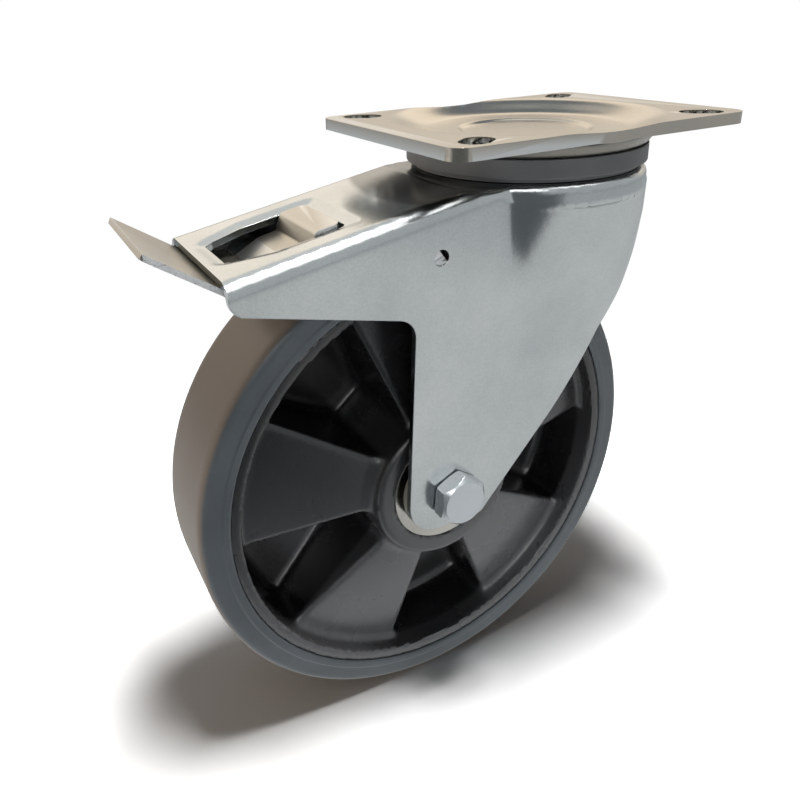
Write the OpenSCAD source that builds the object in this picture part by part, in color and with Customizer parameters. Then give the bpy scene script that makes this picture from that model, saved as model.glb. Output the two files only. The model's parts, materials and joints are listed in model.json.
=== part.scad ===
// Swivel castor with a total brake: pressed steel head, ball bearing wheel, elastic rubber tyre.
// The origin is on the swivel axis at the top face of the plate. The wheel trails towards -X.

/* [Top plate] */
// Length of the plate along X
plate_l = 135; // [125:0.5:150]
// Width of the plate along Y
plate_w = 100; // [96:0.5:120]
// Thickness of the plate
plate_t = 4.5; // [4:0.25:6]
// Corner radius of the plate
plate_corner_r = 7; // [3:0.5:10]
// Distance from the middle of a bolt slot to the end of the plate
slot_end_gap = 15; // [13:0.5:17]
// Distance from the middle of a bolt slot to the long side of the plate
slot_side_gap = 10; // [9:0.5:12]
// Width of a bolt slot
slot_w = 11; // [8.5:0.5:12]
// Length of a bolt slot from end to end
slot_l = 16; // [13:0.5:18]
// Depth of the pressed dish in the plate
dish_depth = 5; // [4:0.25:6]
// Radius of the flat floor of the dish
dish_floor_r = 38; // [36:0.5:39]
// Radius at which the dish meets the flat of the plate
dish_rim_r = 55; // [50:0.5:56]
// Depth of the shallow step in the middle of the dish
dish_step = 1.2; // [0.5:0.1:1.5]
// Radius of that step
dish_step_r = 26; // [20:0.5:28]

/* [Swivel head] */
// Radius of the crown of the fork
crown_r = 47.5; // [46.5:0.5:50]
// Height of the gap between the dish and the crown
race_gap = 9; // [8.5:0.1:10]
// Diameter of the balls above the crown
upper_ball_d = 10; // [9.6:0.1:10.5]
// Radius of the circle that the upper balls run on
upper_race_r = 35.5; // [34:0.5:36]
// Number of upper balls
upper_ball_n = 20; // [12:1:21]
// Diameter of the balls below the crown
lower_ball_d = 6; // [5.5:0.1:6.5]
// Radius of the circle that the lower balls run on
lower_race_r = 20; // [19:0.5:21]
// Number of lower balls
lower_ball_n = 18; // [12:1:20]
// Height of the outer wall of the seal ring
seal_h = 7; // [6:0.25:7.5]
// Wall thickness of the seal ring
seal_t = 2.5; // [2:0.25:3]
// Diameter of the kingpin
kingpin_d = 16; // [14:1:18]
// Width of the kingpin nut across its flats
king_nut_af = 24; // [22:1:27]
// Height of the kingpin nut
king_nut_h = 7; // [5:0.5:8]

/* [Fork] */
// Sheet thickness of the fork
fork_t = 2.5; // [2:0.25:3]
// Width between the legs of the fork
fork_inner_w = 63; // [61:0.5:66]
// Horizontal distance from the swivel axis to the axle
trail = 55; // [50:0.5:58]
// Height of the plate face above the axle
axle_drop = 140; // [138:0.5:146]
// Reach of the brake arm behind the swivel axis
arm_reach = 139.5; // [136:0.5:145]
// Fall of the brake arm in degrees
arm_fall = 10.2; // [9:0.1:11]
// Radius of the bends along the arm
arm_bend_r = 6; // [5:0.5:8]
// Metal of a leg behind the axle
leg_heel = 21; // [19:0.5:23]
// Metal of a leg below the axle
leg_end = 13.6; // [13:0.2:16]

/* [Wheel] */
// Diameter of the wheel
wheel_d = 200; // [190:1:201]
// Width of the wheel over the tyre's flanks
wheel_w = 43; // [40:0.5:46]
// Width of the running face of the tyre
tread_w = 40; // [36:0.5:42]
// Thickness of the rubber over the rim
tyre_t = 11.5; // [10:0.5:14]
// Thickness of the rim's barrel
barrel_t = 4.5; // [3.5:0.25:6]
// Number of front panels in the rim's web
panel_n = 5; // [4:1:6]
// Thickness of the rim's web
web_t = 4; // [3:0.25:5]
// Outer radius of the hub
hub_r = 31; // [29:0.5:33]
// Length of the hub
hub_l = 56; // [54:0.5:57]

/* [Axle and bearings] */
// Diameter of the axle bolt
axle_d = 12; // [10:1:12]
// Width of the bolt head across its flats
axle_af = 19; // [17:1:21]
// Height of the bolt head
axle_head_h = 7.5; // [6:0.5:9]
// Bore of a ball bearing
bearing_bore = 20; // [18:1:20]
// Outer diameter of a ball bearing
bearing_od = 47; // [45:1:47]
// Width of a ball bearing
bearing_w = 14; // [12:0.5:15]
// Diameter of a ball in the wheel bearings
bearing_ball_d = 7.9; // [7:0.1:8.2]
// Number of balls in one wheel bearing
bearing_ball_n = 8; // [6:1:9]

/* [Brake] */
// Sheet thickness of the pedal
pedal_t = 2; // [1.5:0.25:2.25]
// Width of the pedal pad
pedal_w = 52; // [46:0.5:55]
// Width of the release tab
tab_w = 32; // [26:0.5:33]
// Angle of the pad to the floor in degrees
pad_rise = 34; // [30:1:37]
// Diameter of the pin that the pedal turns on
pedal_pin_d = 4; // [3:0.5:4.5]
// Sheet thickness of the brake plate
brake_t = 3; // [2.5:0.25:3.25]
// Width of the brake plate
brake_w = 52; // [48:0.5:54]
// Diameter of the stubs that the brake plate hangs on
stub_d = 6; // [5:0.5:6.5]

/* [Hidden] */
$fn = 96;
eps = 0.01;
big = 400;

// Spacing of the bolt slots
slot_spacing_x = plate_l - 2 * slot_end_gap;
slot_spacing_y = plate_w - 2 * slot_side_gap;

// Levels of the swivel head, downwards from the top face of the plate
dish_z = -dish_depth;
dish_under_z = dish_z - plate_t;
crown_z = dish_under_z - race_gap;
crown_under_z = crown_z - fork_t;
ball_gap = 0.06;
upper_ball_z = (dish_under_z + crown_z) / 2;
groove_r = upper_ball_d / 2 + ball_gap;
step_under_z = dish_under_z - dish_step;

// Lower race and lock below the crown
lower_groove = 0.8;
lower_ball_z = crown_under_z + lower_groove - lower_ball_d / 2 - ball_gap;
cup_z = lower_ball_z - lower_ball_d / 2 + lower_groove - ball_gap;
cup_t = 3;
cup_r = lower_race_r + 8;
lock_t = 3;
lock_r = 36;
lock_z = cup_z - cup_t;
nut_z = lock_z - lock_t;
king_end_z = nut_z - king_nut_h - 1.5;
king_flange_r = 24;
king_flange_t = 3.5;
king_bore_clear = 1.5;
crown_edge_r = 2.5;
crown_wall_h = 6;

// Fork
fork_outer_w = fork_inner_w + 2 * fork_t;
web_drop = 0.6;
leg_in_y = fork_inner_w / 2;
leg_out_y = fork_outer_w / 2;
axle_x = -trail;
axle_z = -axle_drop;
knee = [axle_x - 17.2, axle_z + 78];
arm_end_z = axle_z + 94;
arm_corner_r = 6;
knee_r = 8;
leg_heel_r = 13;
leg_toe = 12.9;
leg_toe_r = 4;
front_lean = 50;
front_curve_r = 217.5;
front_curve_from = [axle_x + 47, axle_z + 23.8];
arch_r = 18;
arch_z = crown_z - 11;
cone_low_z = crown_z - 66;
cone_low_x = 12;
cone_inset = 0.4;

// Window in the arm for the release tab: a through hole with a pressed rim
window_end_gap = 6.5;
window_l = 42.8;
window_rear_x = window_end_gap - arm_reach;
window_front_x = window_rear_x + window_l;
window_clear = 1.3;
window_sink = 2;
window_border = 4;
window_taper = 16;
window_rear_half = 11;
wheel_r = wheel_d / 2;

// Wheel
rim_r = wheel_r - tyre_t;
barrel_r = rim_r - barrel_t;
panel_out_y = 13;
panel_in_y = 22;
panel_in_r = hub_r + 3;
panel_pitch = 360 / panel_n;
panel_half = 18.75;
panel_start = -49;
web_wall_t = 3.2;

// Bearings sit flush in the ends of the hub
bearing_face_y = hub_l / 2 - 0.5;
bearing_mid_r = (bearing_od + bearing_bore) / 4;
race_wall = (bearing_od - bearing_bore) / 2 * 0.3;
axle_fit = 0.05;
washer_t = 2.5;
axle_nut_h = 12;
head_turn = 25;
head_seat_h = 0.6;
collar_wall = 3;

// Brake levers: the pedal turns on its pin, the brake plate on its stubs
pivot_window_gap = 29;
pivot_drop = 11.75;
pivot_x = window_rear_x + pivot_window_gap;
pivot_z = arm_top_z(pivot_x) - pivot_drop;
hinge_back = 6.8;
hinge_sink = 0.4;
hinge_x = axle_x - hinge_back;
hinge_z = axle_z + wheel_r - hinge_sink;
ear_r = pedal_pin_d / 2 + 2.2;
ear_t = 3;
ear_y = tab_w / 2 + 2.5;
pin_fit = 0.05;
shoe_gap = 2.5;
plate_gap = 2.6;
nose_gap = 1.7;
press_slope = 35;
press_back = 9;
press_drop = 7.35;
cam_back = 13;
cam_drop = 5.6;
cam_r = 3.4;
press_x = pivot_x - press_back;
press_z = pivot_z - press_drop;
cam_x = pivot_x - cam_back;
cam_z = pivot_z - cam_drop;

// Points of an arc about c from angle a0 to a1 in n steps
function arc(c, r, a0, a1, n = 10) =
    [for (i = [0:n]) c + r * [cos(a0 + (a1 - a0) * i / n), sin(a0 + (a1 - a0) * i / n)]];

// Smooth step from z0 at radius r0 to z1 at radius r1
function ease(r0, z0, r1, z1, n = 10) =
    [for (i = [0:n]) let (t = i / n) [r0 + (r1 - r0) * t, z0 + (z1 - z0) * t * t * (3 - 2 * t)]];

// Height of the top of the brake arm at a place along X
function arm_top_z(x) = crown_z - web_drop + (x + crown_r) * tan(arm_fall);

// Path with its inner corners rounded: each corner takes the radius of the same place in radii
function rounded(path, radii, n = 6) = [for (i = [0:len(path) - 1]) each
    i == 0 || i == len(path) - 1 || radii[i] == 0 ? [path[i]] : corner_points(
        path[i], unit(path[i - 1] - path[i]), unit(path[i + 1] - path[i]), radii[i], n)];

function unit(v) = v / norm(v);

function corner_points(p, u, v, r, n) =
    let (half = acos(u * v) / 2, c = p + unit(u + v) * r / sin(half),
         a = p + u * r / tan(half) - c, b = p + v * r / tan(half) - c, turn = 180 - 2 * half,
         side = sign(a[0] * b[1] - a[1] * b[0]))
    [for (i = [0:n]) c + turned(a, side * turn * i / n)];

function turned(v, a) = [v[0] * cos(a) - v[1] * sin(a), v[0] * sin(a) + v[1] * cos(a)];

// Normal of a path at point i, scaled so that a strip keeps its thickness in a corner
function mitre(path, i) =
    let (a = i > 0 ? unit(path[i] - path[i - 1]) : unit(path[1] - path[0]),
         b = i < len(path) - 1 ? unit(path[i + 1] - path[i]) : a,
         m = unit(a + b))
    [m[1], -m[0]] / (m * a);

// Upper face of the pedal from the tip of the pad to the front of the release tab
pad_bend = [pivot_x - 31, pivot_z - 0.6];
pad_reach = 32.2;
neck_back = 17;
tab_front_x = window_front_x - window_clear;
tab_crest_x = pivot_x + 2.7;
pedal_path = rounded([pad_bend + pad_reach * [-cos(pad_rise), sin(pad_rise)], pad_bend,
                      [pivot_x - neck_back, pivot_z - 1.6], [pivot_x - 7, pivot_z + 4],
                      [pivot_x + 0.2, pivot_z + 5.6], [tab_crest_x, arm_top_z(tab_crest_x)],
                      [tab_front_x, arm_top_z(tab_front_x)]],
                     [0, 5, 4, 6, 2, 2.5, 0]);

// Upper face of the brake plate, from its rear end over the wheel to the lock nose
plate_top_r = wheel_r + plate_gap + brake_t;
press_top = [press_x, press_z];
press_dir = [cos(press_slope), sin(press_slope)];
under_press = brake_t * [press_dir[1], -press_dir[0]];
nose_z = lock_z - lock_t - nose_gap;
press_tail = 7;
press_lead = 2.5;
brake_path = concat([press_top - press_tail * press_dir, press_top + press_lead * press_dir],
                    arc([axle_x, axle_z], plate_top_r, plate_angle(press_x + press_back),
                        plate_angle(hinge_x + 16), 5),
                    [[-lock_r - 1, nose_z - 0.6], [-lock_r + 1, nose_z], [-lock_r + 8, nose_z]]);

// Angle on the wheel at which the brake plate stands over a place along X
function plate_angle(x) = acos((x - axle_x) / plate_top_r);

// Turns a drawing in X and Z into a solid centred on Y
module along_y(w) {
    rotate([90, 0, 0]) linear_extrude(w, center = true) children();
}

// A cylinder that runs along Y from y0 to y1
module y_rod(r, y0, y1, x = 0, z = 0) {
    translate([x, y1, z]) rotate([90, 0, 0]) cylinder(r = r, h = y1 - y0);
}

// Turns a half section drawn as radius and Y about the wheel's axis
module about_axle() {
    translate([axle_x, 0, axle_z]) rotate([-90, 0, 0]) rotate_extrude() children();
}

// Section of the pressed dish between radius 0 and the plate's rim
module plate_section(edge) {
    top = concat([[0, dish_z - dish_step]], ease(dish_step_r - 2, dish_z - dish_step, dish_step_r + 1, dish_z, 4),
                 ease(dish_floor_r, dish_z, dish_rim_r, 0));
    under = concat(ease(crown_r + 3.5, -plate_t, crown_r - 1.5, dish_under_z),
                   [[dish_step_r + 3, dish_under_z], [dish_step_r - 1, step_under_z],
                    [0, step_under_z]]);
    polygon(concat(top, [[edge, 0], [edge, -plate_t]], under));
}

module slot_cut() {
    a = atan2(slot_spacing_y, slot_spacing_x);
    half = (slot_l - slot_w) / 2;
    for (sx = [-1, 1], sy = [-1, 1])
        translate([sx * slot_spacing_x / 2, sy * slot_spacing_y / 2, 0])
            rotate(sx * sy * a) {
                for (s = [-1, 1]) translate([s * half, 0, -plate_t - 1])
                    cylinder(d = slot_w, h = plate_t + 2);
                translate([-half, -slot_w / 2, -plate_t - 1])
                    cube([2 * half, slot_w, plate_t + 2]);
            }
}

module rounded_rect(l, w, r) {
    square([l - 2 * r, w], center = true);
    square([l, w - 2 * r], center = true);
    for (x = [-1, 1], y = [-1, 1]) translate([x * (l / 2 - r), y * (w / 2 - r)]) circle(r);
}

module top_plate() {
    color("silver") difference() {
        intersection() {
            rotate_extrude() plate_section(plate_l);
            translate([0, 0, dish_under_z - dish_step - 1])
                linear_extrude(-dish_under_z + dish_step + 2)
                    rounded_rect(plate_l, plate_w, plate_corner_r);
        }
        slot_cut();
        translate([0, 0, upper_ball_z]) ball_groove(upper_race_r, groove_r);
    }
}

// Torus that cuts the groove of a ball race
module ball_groove(r, groove) {
    rotate_extrude() translate([r, 0]) circle(groove);
}

// Ring of separate balls
module ball_ring(r, d, n) {
    for (i = [0:n - 1]) rotate(i * 360 / n) translate([r, 0, 0]) sphere(d = d, $fn = 32);
}

module seal_ring() {
    flange_t = 1.6;
    flange_r = crown_r - 6.2;
    color("dimgray") translate([0, 0, dish_under_z]) rotate_extrude() polygon([
        [flange_r, 0], [crown_r, 0], [crown_r, -seal_h], [crown_r - seal_t, -seal_h],
        [crown_r - seal_t, -flange_t], [flange_r, -flange_t]]);
}

module upper_balls() {
    color("lightgray") translate([0, 0, upper_ball_z])
        ball_ring(upper_race_r, upper_ball_d, upper_ball_n);
}

module kingpin() {
    color("silver") {
        translate([0, 0, king_end_z]) cylinder(d = kingpin_d, h = step_under_z - king_end_z);
        translate([0, 0, step_under_z - king_flange_t])
            cylinder(r = king_flange_r, h = king_flange_t);
    }
}

module lower_balls() {
    color("lightgray") translate([0, 0, lower_ball_z])
        ball_ring(lower_race_r, lower_ball_d, lower_ball_n);
}

module lower_race_cup() {
    color("gray") difference() {
        translate([0, 0, cup_z - cup_t]) cylinder(r = cup_r, h = cup_t);
        translate([0, 0, cup_z - cup_t - 1]) cylinder(d = kingpin_d, h = cup_t + 2);
        translate([0, 0, lower_ball_z]) ball_groove(lower_race_r, lower_ball_d / 2 + ball_gap);
    }
}

module swivel_lock_disc() {
    color("gray") difference() {
        translate([0, 0, lock_z - lock_t]) cylinder(r = lock_r, h = lock_t);
        translate([0, 0, lock_z - lock_t - 1]) cylinder(d = kingpin_d, h = lock_t + 2);
    }
}

// Hexagonal prism with its lower or upper corners turned off
module hex_body(af, h) {
    intersection() {
        cylinder(d = af / cos(30), h = h, $fn = 6);
        translate([0, 0, -h]) cylinder(r1 = af / 2 + 2 * h * 1.7, r2 = af / 2 * 0.97, h = 2 * h);
    }
}

module king_nut() {
    color("silver") difference() {
        translate([0, 0, nut_z]) mirror([0, 0, 1]) hex_body(king_nut_af, king_nut_h);
        translate([0, 0, king_end_z - 1]) cylinder(d = kingpin_d, h = nut_z - king_end_z + 2);
    }
}

// Outline of the fork seen from the side, drawn in X and Z
module fork_side() {
    axle = [axle_x, axle_z];
    rear = rounded([[-arm_reach, big], [-arm_reach, arm_end_z], knee, axle + [-leg_heel, -leg_end],
                    axle + [leg_toe, -leg_end], front_curve_from],
                   [0, arm_corner_r, knee_r, leg_heel_r, leg_toe_r, 0]);
    front_centre = front_curve_from + front_curve_r * [-sin(front_lean), cos(front_lean)];
    front = arc(front_centre, front_curve_r, front_lean - 90, -14, 14);
    polygon(concat(rear, [for (i = [1 : len(front) - 1]) front[i]],
                   [[crown_r + 1, crown_z - crown_wall_h], [crown_r + 1, big]]));
}

// Section across the arm: an inverted channel, solid, with round upper corners
module channel(half, r) {
    translate([-half + r, -big]) square([2 * (half - r), big]);
    translate([-half, -big]) square([2 * half, big - r]);
    for (s = [-1, 1]) translate([s * (half - r), -r]) circle(r);
}

// Runs the channel section along the falling line of the arm
module arm_run(half, r, drop, from_x, to_x) {
    translate([-crown_r, 0, crown_z - web_drop]) rotate([0, -arm_fall, 0])
        translate([from_x + crown_r, 0, -drop]) rotate([90, 0, 90])
            linear_extrude(to_x - from_x) channel(half, r);
}

module fork() {
    color("silver") union() {
        difference() {
            intersection() {
                union() {
                    fork_outer();
                    crown_disc();
                }
                along_y(big) fork_side();
            }
            fork_inner();
            fork_holes();
        }
        pedal_ears();
    }
}

// Outer skin of the fork: the arm with its legs, and the cone up to the round head
module fork_outer() {
    intersection() {
        arm_run(leg_out_y, arm_bend_r, 0, -arm_reach - 10, crown_r);
        translate([-big, -big / 2, -big]) cube([big + leg_out_y, big, big + crown_z - 1]);
    }
    crown_cone(0, crown_z - crown_wall_h);
}

// Cone that swells from the legs up to the round crown
module crown_cone(wall, top_z) {
    hull() {
        translate([0, 0, top_z - eps]) cylinder(r = crown_r - wall, h = eps, $fn = 64);
        translate([cone_low_x, 0, cone_low_z])
            cylinder(r = leg_out_y - cone_inset - wall, h = eps, $fn = 64);
    }
}

module crown_disc() {
    side_h = crown_wall_h - crown_edge_r;
    translate([0, 0, crown_z - crown_wall_h]) rotate_extrude() {
        square([crown_r - crown_edge_r, crown_wall_h]);
        square([crown_r, side_h]);
        translate([crown_r - crown_edge_r, side_h]) circle(crown_edge_r);
    }
}

module fork_inner() {
    crown_cone(fork_t, crown_under_z);
    difference() {
        intersection() {
            arm_run(leg_in_y, arm_bend_r - fork_t, fork_t, -arm_reach - 20, 20);
            translate([-big, -big / 2, -big]) cube([big, big, big + crown_under_z]);
        }
        window_tray(fork_t + window_sink, 0.6 * fork_t);
    }
    translate([-eps, 0, arch_z]) rotate([90, 0, 90]) linear_extrude(big / 2) channel(leg_in_y, arch_r);
}

module fork_holes() {
    translate([0, 0, crown_under_z - 1])
        cylinder(d = kingpin_d + 2 * king_bore_clear, h = fork_t + 2);
    translate([0, 0, upper_ball_z]) ball_groove(upper_race_r, groove_r);
    translate([0, 0, lower_ball_z]) ball_groove(lower_race_r, lower_ball_d / 2 + ball_gap);
    y_rod(axle_d / 2, -leg_out_y - 1, leg_out_y + 1, axle_x, axle_z);
    y_rod(stub_d / 2 + pin_fit, -leg_out_y - 1, leg_out_y + 1, hinge_x, hinge_z);
    arm_window();
}

// Puts what is drawn along the arm's top line at the rear end of the window
module at_window() {
    translate([window_rear_x, 0, arm_top_z(window_rear_x)]) rotate([0, -arm_fall, 0]) children();
}

// Sunk tray round the window: its floor is low under the arm's top line and wider by spread
module window_tray(low, spread) {
    l = (window_front_x - window_rear_x) / cos(arm_fall);
    half = tab_w / 2 + window_clear;
    rim = window_border * (low / window_sink);
    at_window() intersection() {
        rotate([90, 0, 0]) linear_extrude(big, center = true)
            polygon([[-spread, -low], [l + spread, -low], [l + spread + rim, eps],
                     [l + spread + rim, 9], [-spread - rim, 9], [-spread - rim, eps]]);
        rotate([90, 0, 90]) linear_extrude(big, center = true)
            polygon([[-half - spread, -low], [half + spread, -low], [half + spread + rim, eps],
                     [half + spread + rim, 9], [-half - spread - rim, 9],
                     [-half - spread - rim, eps]]);
    }
}

// The opening itself, which narrows towards the rear, with the tray above it
module arm_window() {
    l = (window_front_x - window_rear_x) / cos(arm_fall);
    half = tab_w / 2 + window_clear;
    at_window() translate([0, 0, -4 * fork_t]) linear_extrude(5 * fork_t)
        polygon([[0, -window_rear_half], [3, -window_rear_half - 2], [window_taper, -half],
                 [l, -half], [l, half], [window_taper, half], [3, window_rear_half + 2],
                 [0, window_rear_half]]);
    window_tray(window_sink, 0);
}

// Ears that hang from the long edges of the window and carry the pedal pin
module pedal_ears() {
    root = ear_r + 3;
    for (s = [-1, 1]) difference() {
        translate([0, s * (ear_y + ear_t / 2), 0]) along_y(ear_t) {
            translate([pivot_x, pivot_z]) circle(ear_r);
            polygon([[pivot_x - ear_r, pivot_z], [pivot_x + ear_r, pivot_z],
                     [pivot_x + root, arm_top_z(pivot_x + root) - fork_t + 0.5],
                     [pivot_x - root, arm_top_z(pivot_x - root) - fork_t + 0.5]]);
        }
        y_rod(pedal_pin_d / 2, -big / 4, big / 4, pivot_x, pivot_z);
    }
}

module axle_bolt() {
    end_y = leg_out_y + washer_t + axle_nut_h + 2;
    color("silver") {
        y_rod(axle_d / 2, -leg_out_y, end_y, axle_x, axle_z);
        y_rod(axle_af * 0.45, -leg_out_y - head_seat_h, -leg_out_y, axle_x, axle_z);
        translate([axle_x, -leg_out_y - head_seat_h, axle_z]) rotate([90, 0, 0]) rotate(head_turn)
            hex_body(axle_af, axle_head_h - head_seat_h);
    }
}

module axle_washer() {
    color("silver") difference() {
        y_rod(axle_d, leg_out_y, leg_out_y + washer_t, axle_x, axle_z);
        y_rod(axle_d / 2, leg_out_y - 1, leg_out_y + washer_t + 1, axle_x, axle_z);
    }
}

module axle_nut() {
    color("silver") difference() {
        translate([axle_x, leg_out_y + washer_t, axle_z]) rotate([-90, 0, 0])
            hex_body(axle_af, axle_nut_h);
        y_rod(axle_d / 2, leg_out_y, leg_out_y + washer_t + axle_nut_h + 1, axle_x, axle_z);
    }
}

module axle_tube() {
    color("silver") difference() {
        y_rod(bearing_bore / 2 - axle_fit, -leg_in_y, leg_in_y, axle_x, axle_z);
        y_rod(axle_d / 2, -leg_in_y - 1, leg_in_y + 1, axle_x, axle_z);
    }
}

module distance_collars() {
    color("gray") for (s = [-1, 1]) translate([axle_x, 0, axle_z]) rotate([-90 * s, 0, 0])
        rotate_extrude() translate([bearing_bore / 2, bearing_face_y])
            square([collar_wall, leg_in_y - bearing_face_y]);
}

module bearing_spacer() {
    half = bearing_face_y - bearing_w;
    color("gray") about_axle() translate([bearing_bore / 2, -half]) square([collar_wall, 2 * half]);
}

// One ring of a wheel bearing, from radius r0 to r1, with a ball groove
module bearing_ring(s, r0, r1) {
    mid_y = s * (bearing_face_y - bearing_w / 2);
    color("lightgray") about_axle() difference() {
        translate([r0, mid_y - bearing_w / 2]) square([r1 - r0, bearing_w]);
        translate([bearing_mid_r, mid_y]) circle(bearing_ball_d / 2 + ball_gap);
    }
}

module bearing_balls(s) {
    color("lightgray") translate([axle_x, s * (bearing_face_y - bearing_w / 2), axle_z])
        rotate([90, 0, 0]) ball_ring(bearing_mid_r, bearing_ball_d, bearing_ball_n);
}

// Two cover plates pressed into the outer ring of a bearing
module bearing_shields(s) {
    gap = 0.4;
    t = 0.8;
    mid_y = s * (bearing_face_y - bearing_w / 2);
    color("beige") for (side = [-1, 1]) about_axle()
        translate([bearing_bore / 2 + race_wall + gap, mid_y + side * (bearing_w / 2 - 1.2) - t / 2])
            square([(bearing_od - bearing_bore) / 2 - 2 * race_wall - gap, t]);
}

module near_bearing_outer_ring() { bearing_ring(-1, bearing_od / 2 - race_wall, bearing_od / 2); }
module near_bearing_inner_ring() { bearing_ring(-1, bearing_bore / 2, bearing_bore / 2 + race_wall); }
module near_bearing_balls() { bearing_balls(-1); }
module near_bearing_shields() { bearing_shields(-1); }
module far_bearing_outer_ring() { bearing_ring(1, bearing_od / 2 - race_wall, bearing_od / 2); }
module far_bearing_inner_ring() { bearing_ring(1, bearing_bore / 2, bearing_bore / 2 + race_wall); }
module far_bearing_balls() { bearing_balls(1); }
module far_bearing_shields() { bearing_shields(1); }

// Half section of the rim's web on one side, from the hub to the barrel
module web_section(s, thick) {
    polygon([[hub_r - 1, s * panel_in_y], [panel_in_r, s * panel_in_y],
             [barrel_r, s * panel_out_y], [barrel_r + 1, s * panel_out_y],
             [barrel_r + 1, s * (panel_out_y - thick)], [barrel_r, s * (panel_out_y - thick)],
             [panel_in_r, s * (panel_in_y - thick)], [hub_r - 1, s * (panel_in_y - thick)]]);
}

// Wedges that part the web into sectors, seen from the near side
module wedges(start, half) {
    far = 1.3 * wheel_r;
    along_y(hub_l) for (i = [0:panel_n - 1]) {
        a = start + i * panel_pitch;
        polygon([[0, 0], far * [cos(a - half), sin(a - half)], 1.2 * far * [cos(a), sin(a)],
                 far * [cos(a + half), sin(a + half)]]);
    }
}

// Slabs along a radius at both edges of each near panel
module web_slabs() {
    for (i = [0:panel_n - 1], s = [-1, 1])
        rotate([0, -panel_start - i * panel_pitch - s * (panel_half - 1), 0])
            translate([0, -hub_l / 2, -web_wall_t / 2]) cube([wheel_r, hub_l, web_wall_t]);
}

// Solid between the outer faces of the near and the far panels
module web_envelope() {
    rotate([-90, 0, 0]) rotate_extrude() polygon([
        [hub_r - 1, -panel_in_y], [panel_in_r, -panel_in_y], [barrel_r, -panel_out_y],
        [barrel_r + 1, -panel_out_y], [barrel_r + 1, panel_out_y], [barrel_r, panel_out_y],
        [panel_in_r, panel_in_y], [hub_r - 1, panel_in_y]]);
}

module hub_and_barrel() {
    hub_bore = bearing_od / 2 - 3.5;
    barrel_w = wheel_w - 1;
    rotate([-90, 0, 0]) rotate_extrude() {
        translate([barrel_r, -barrel_w / 2]) square([barrel_t, barrel_w]);
        difference() {
            polygon([[hub_bore, -hub_l / 2], [hub_r, -hub_l / 2], [hub_r + 1.5, 0],
                     [hub_r, hub_l / 2], [hub_bore, hub_l / 2]]);
            for (s = [-1, 1]) translate([0, s * (hub_l / 2 + bearing_face_y - bearing_w) / 2])
                square([bearing_od, hub_l / 2 - bearing_face_y + bearing_w], center = true);
        }
    }
}

module rim() {
    color("#1c1c1e") translate([axle_x, 0, axle_z]) {
        hub_and_barrel();
        intersection() {
            rotate([-90, 0, 0]) rotate_extrude() web_section(-1, web_t);
            wedges(panel_start, panel_half);
        }
        intersection() {
            rotate([-90, 0, 0]) rotate_extrude() web_section(1, web_t);
            wedges(panel_start + panel_pitch / 2, panel_pitch / 2 - panel_half + 1.5);
        }
        intersection() {
            web_envelope();
            web_slabs();
        }
    }
}

module tyre() {
    shoulder = 1.5;
    tread = tread_w / 2;
    flank = wheel_w / 2;
    color("#3c444c") about_axle() polygon([
        [rim_r, -flank], [rim_r + 2, -flank], [wheel_r - shoulder - 1, -tread - shoulder * 0.6],
        [wheel_r - shoulder * 0.4, -tread], [wheel_r, -tread + 2 * shoulder],
        [wheel_r, tread - 2 * shoulder], [wheel_r - shoulder * 0.4, tread],
        [wheel_r - shoulder - 1, tread + shoulder * 0.6], [rim_r + 2, flank], [rim_r, flank]]);
}

// Strip of sheet whose upper face follows a path from rear to front
module strip(path, t) {
    polygon(concat(path, [for (i = [len(path) - 1:-1:0]) path[i] + t * mitre(path, i)]));
}

module brake_pedal() {
    neck_x = pivot_x - neck_back;
    cheek_t = 3;
    cheek_y = tab_w / 2 - cheek_t;
    color("silver") difference() {
        union() {
            intersection() {
                along_y(pedal_w) strip(pedal_path, pedal_t);
                union() {
                    translate([neck_x - big, -big / 2, -big]) cube([big, big, big]);
                    translate([neck_x - 1, -tab_w / 2, -big]) cube([big, tab_w, big]);
                }
            }
            for (s = [-1, 1]) translate([0, s * (cheek_y + cheek_t / 2), 0])
                along_y(cheek_t) pedal_cheek();
        }
        y_rod(pedal_pin_d / 2 + pin_fit, -tab_w, tab_w, pivot_x, pivot_z);
    }
}

// Side flange of the pedal with the cam that presses the brake plate
module pedal_cheek() {
    translate([pivot_x, pivot_z]) circle(ear_r);
    translate([cam_x, cam_z]) circle(cam_r);
    polygon([[cam_x - cam_r, cam_z], [cam_x + 2.6, cam_z - 2], [cam_x + 7, cam_z + 2],
             [pivot_x - 1, pivot_z - ear_r + 0.2], [pivot_x + ear_r, pivot_z],
             [pivot_x + ear_r, pivot_z + 11], [pivot_x + 3.4, pivot_z + 11],
             [pivot_x + 1, pivot_z + 4.8], [pivot_x - 7, pivot_z + 3.2],
             [pivot_x - 16, pivot_z - 2.4], [cam_x - cam_r, pivot_z - 3]]);
}

module pedal_pin() {
    end_y = ear_y + ear_t;
    color("silver") {
        y_rod(pedal_pin_d / 2, -end_y - 1, end_y + 1, pivot_x, pivot_z);
        for (s = [-1, 1]) translate([0, s * (end_y + 1), 0])
            y_rod(pedal_pin_d / 2 + 1, -0.99, 0.99, pivot_x, pivot_z);
    }
}

// Coil of wire swept along the pedal pin, with its two legs
module pedal_spring() {
    wire_r = 0.5;
    coil_r = pedal_pin_d / 2 + 0.8;
    turns = 5.5;
    per_turn = 14;
    half_y = 8;
    n = turns * per_turn;
    coil = [for (i = [0:n]) [pivot_x + coil_r * cos(i * 360 / per_turn),
                             -half_y + 2 * half_y * i / n,
                             pivot_z + coil_r * sin(i * 360 / per_turn)]];
    route = concat([[pivot_x + 8, -half_y, pivot_z + 7]], coil,
                   [[pivot_x - 9, half_y, pivot_z - 1]]);
    color("gray") wire(route, wire_r, 8);
}

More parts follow.
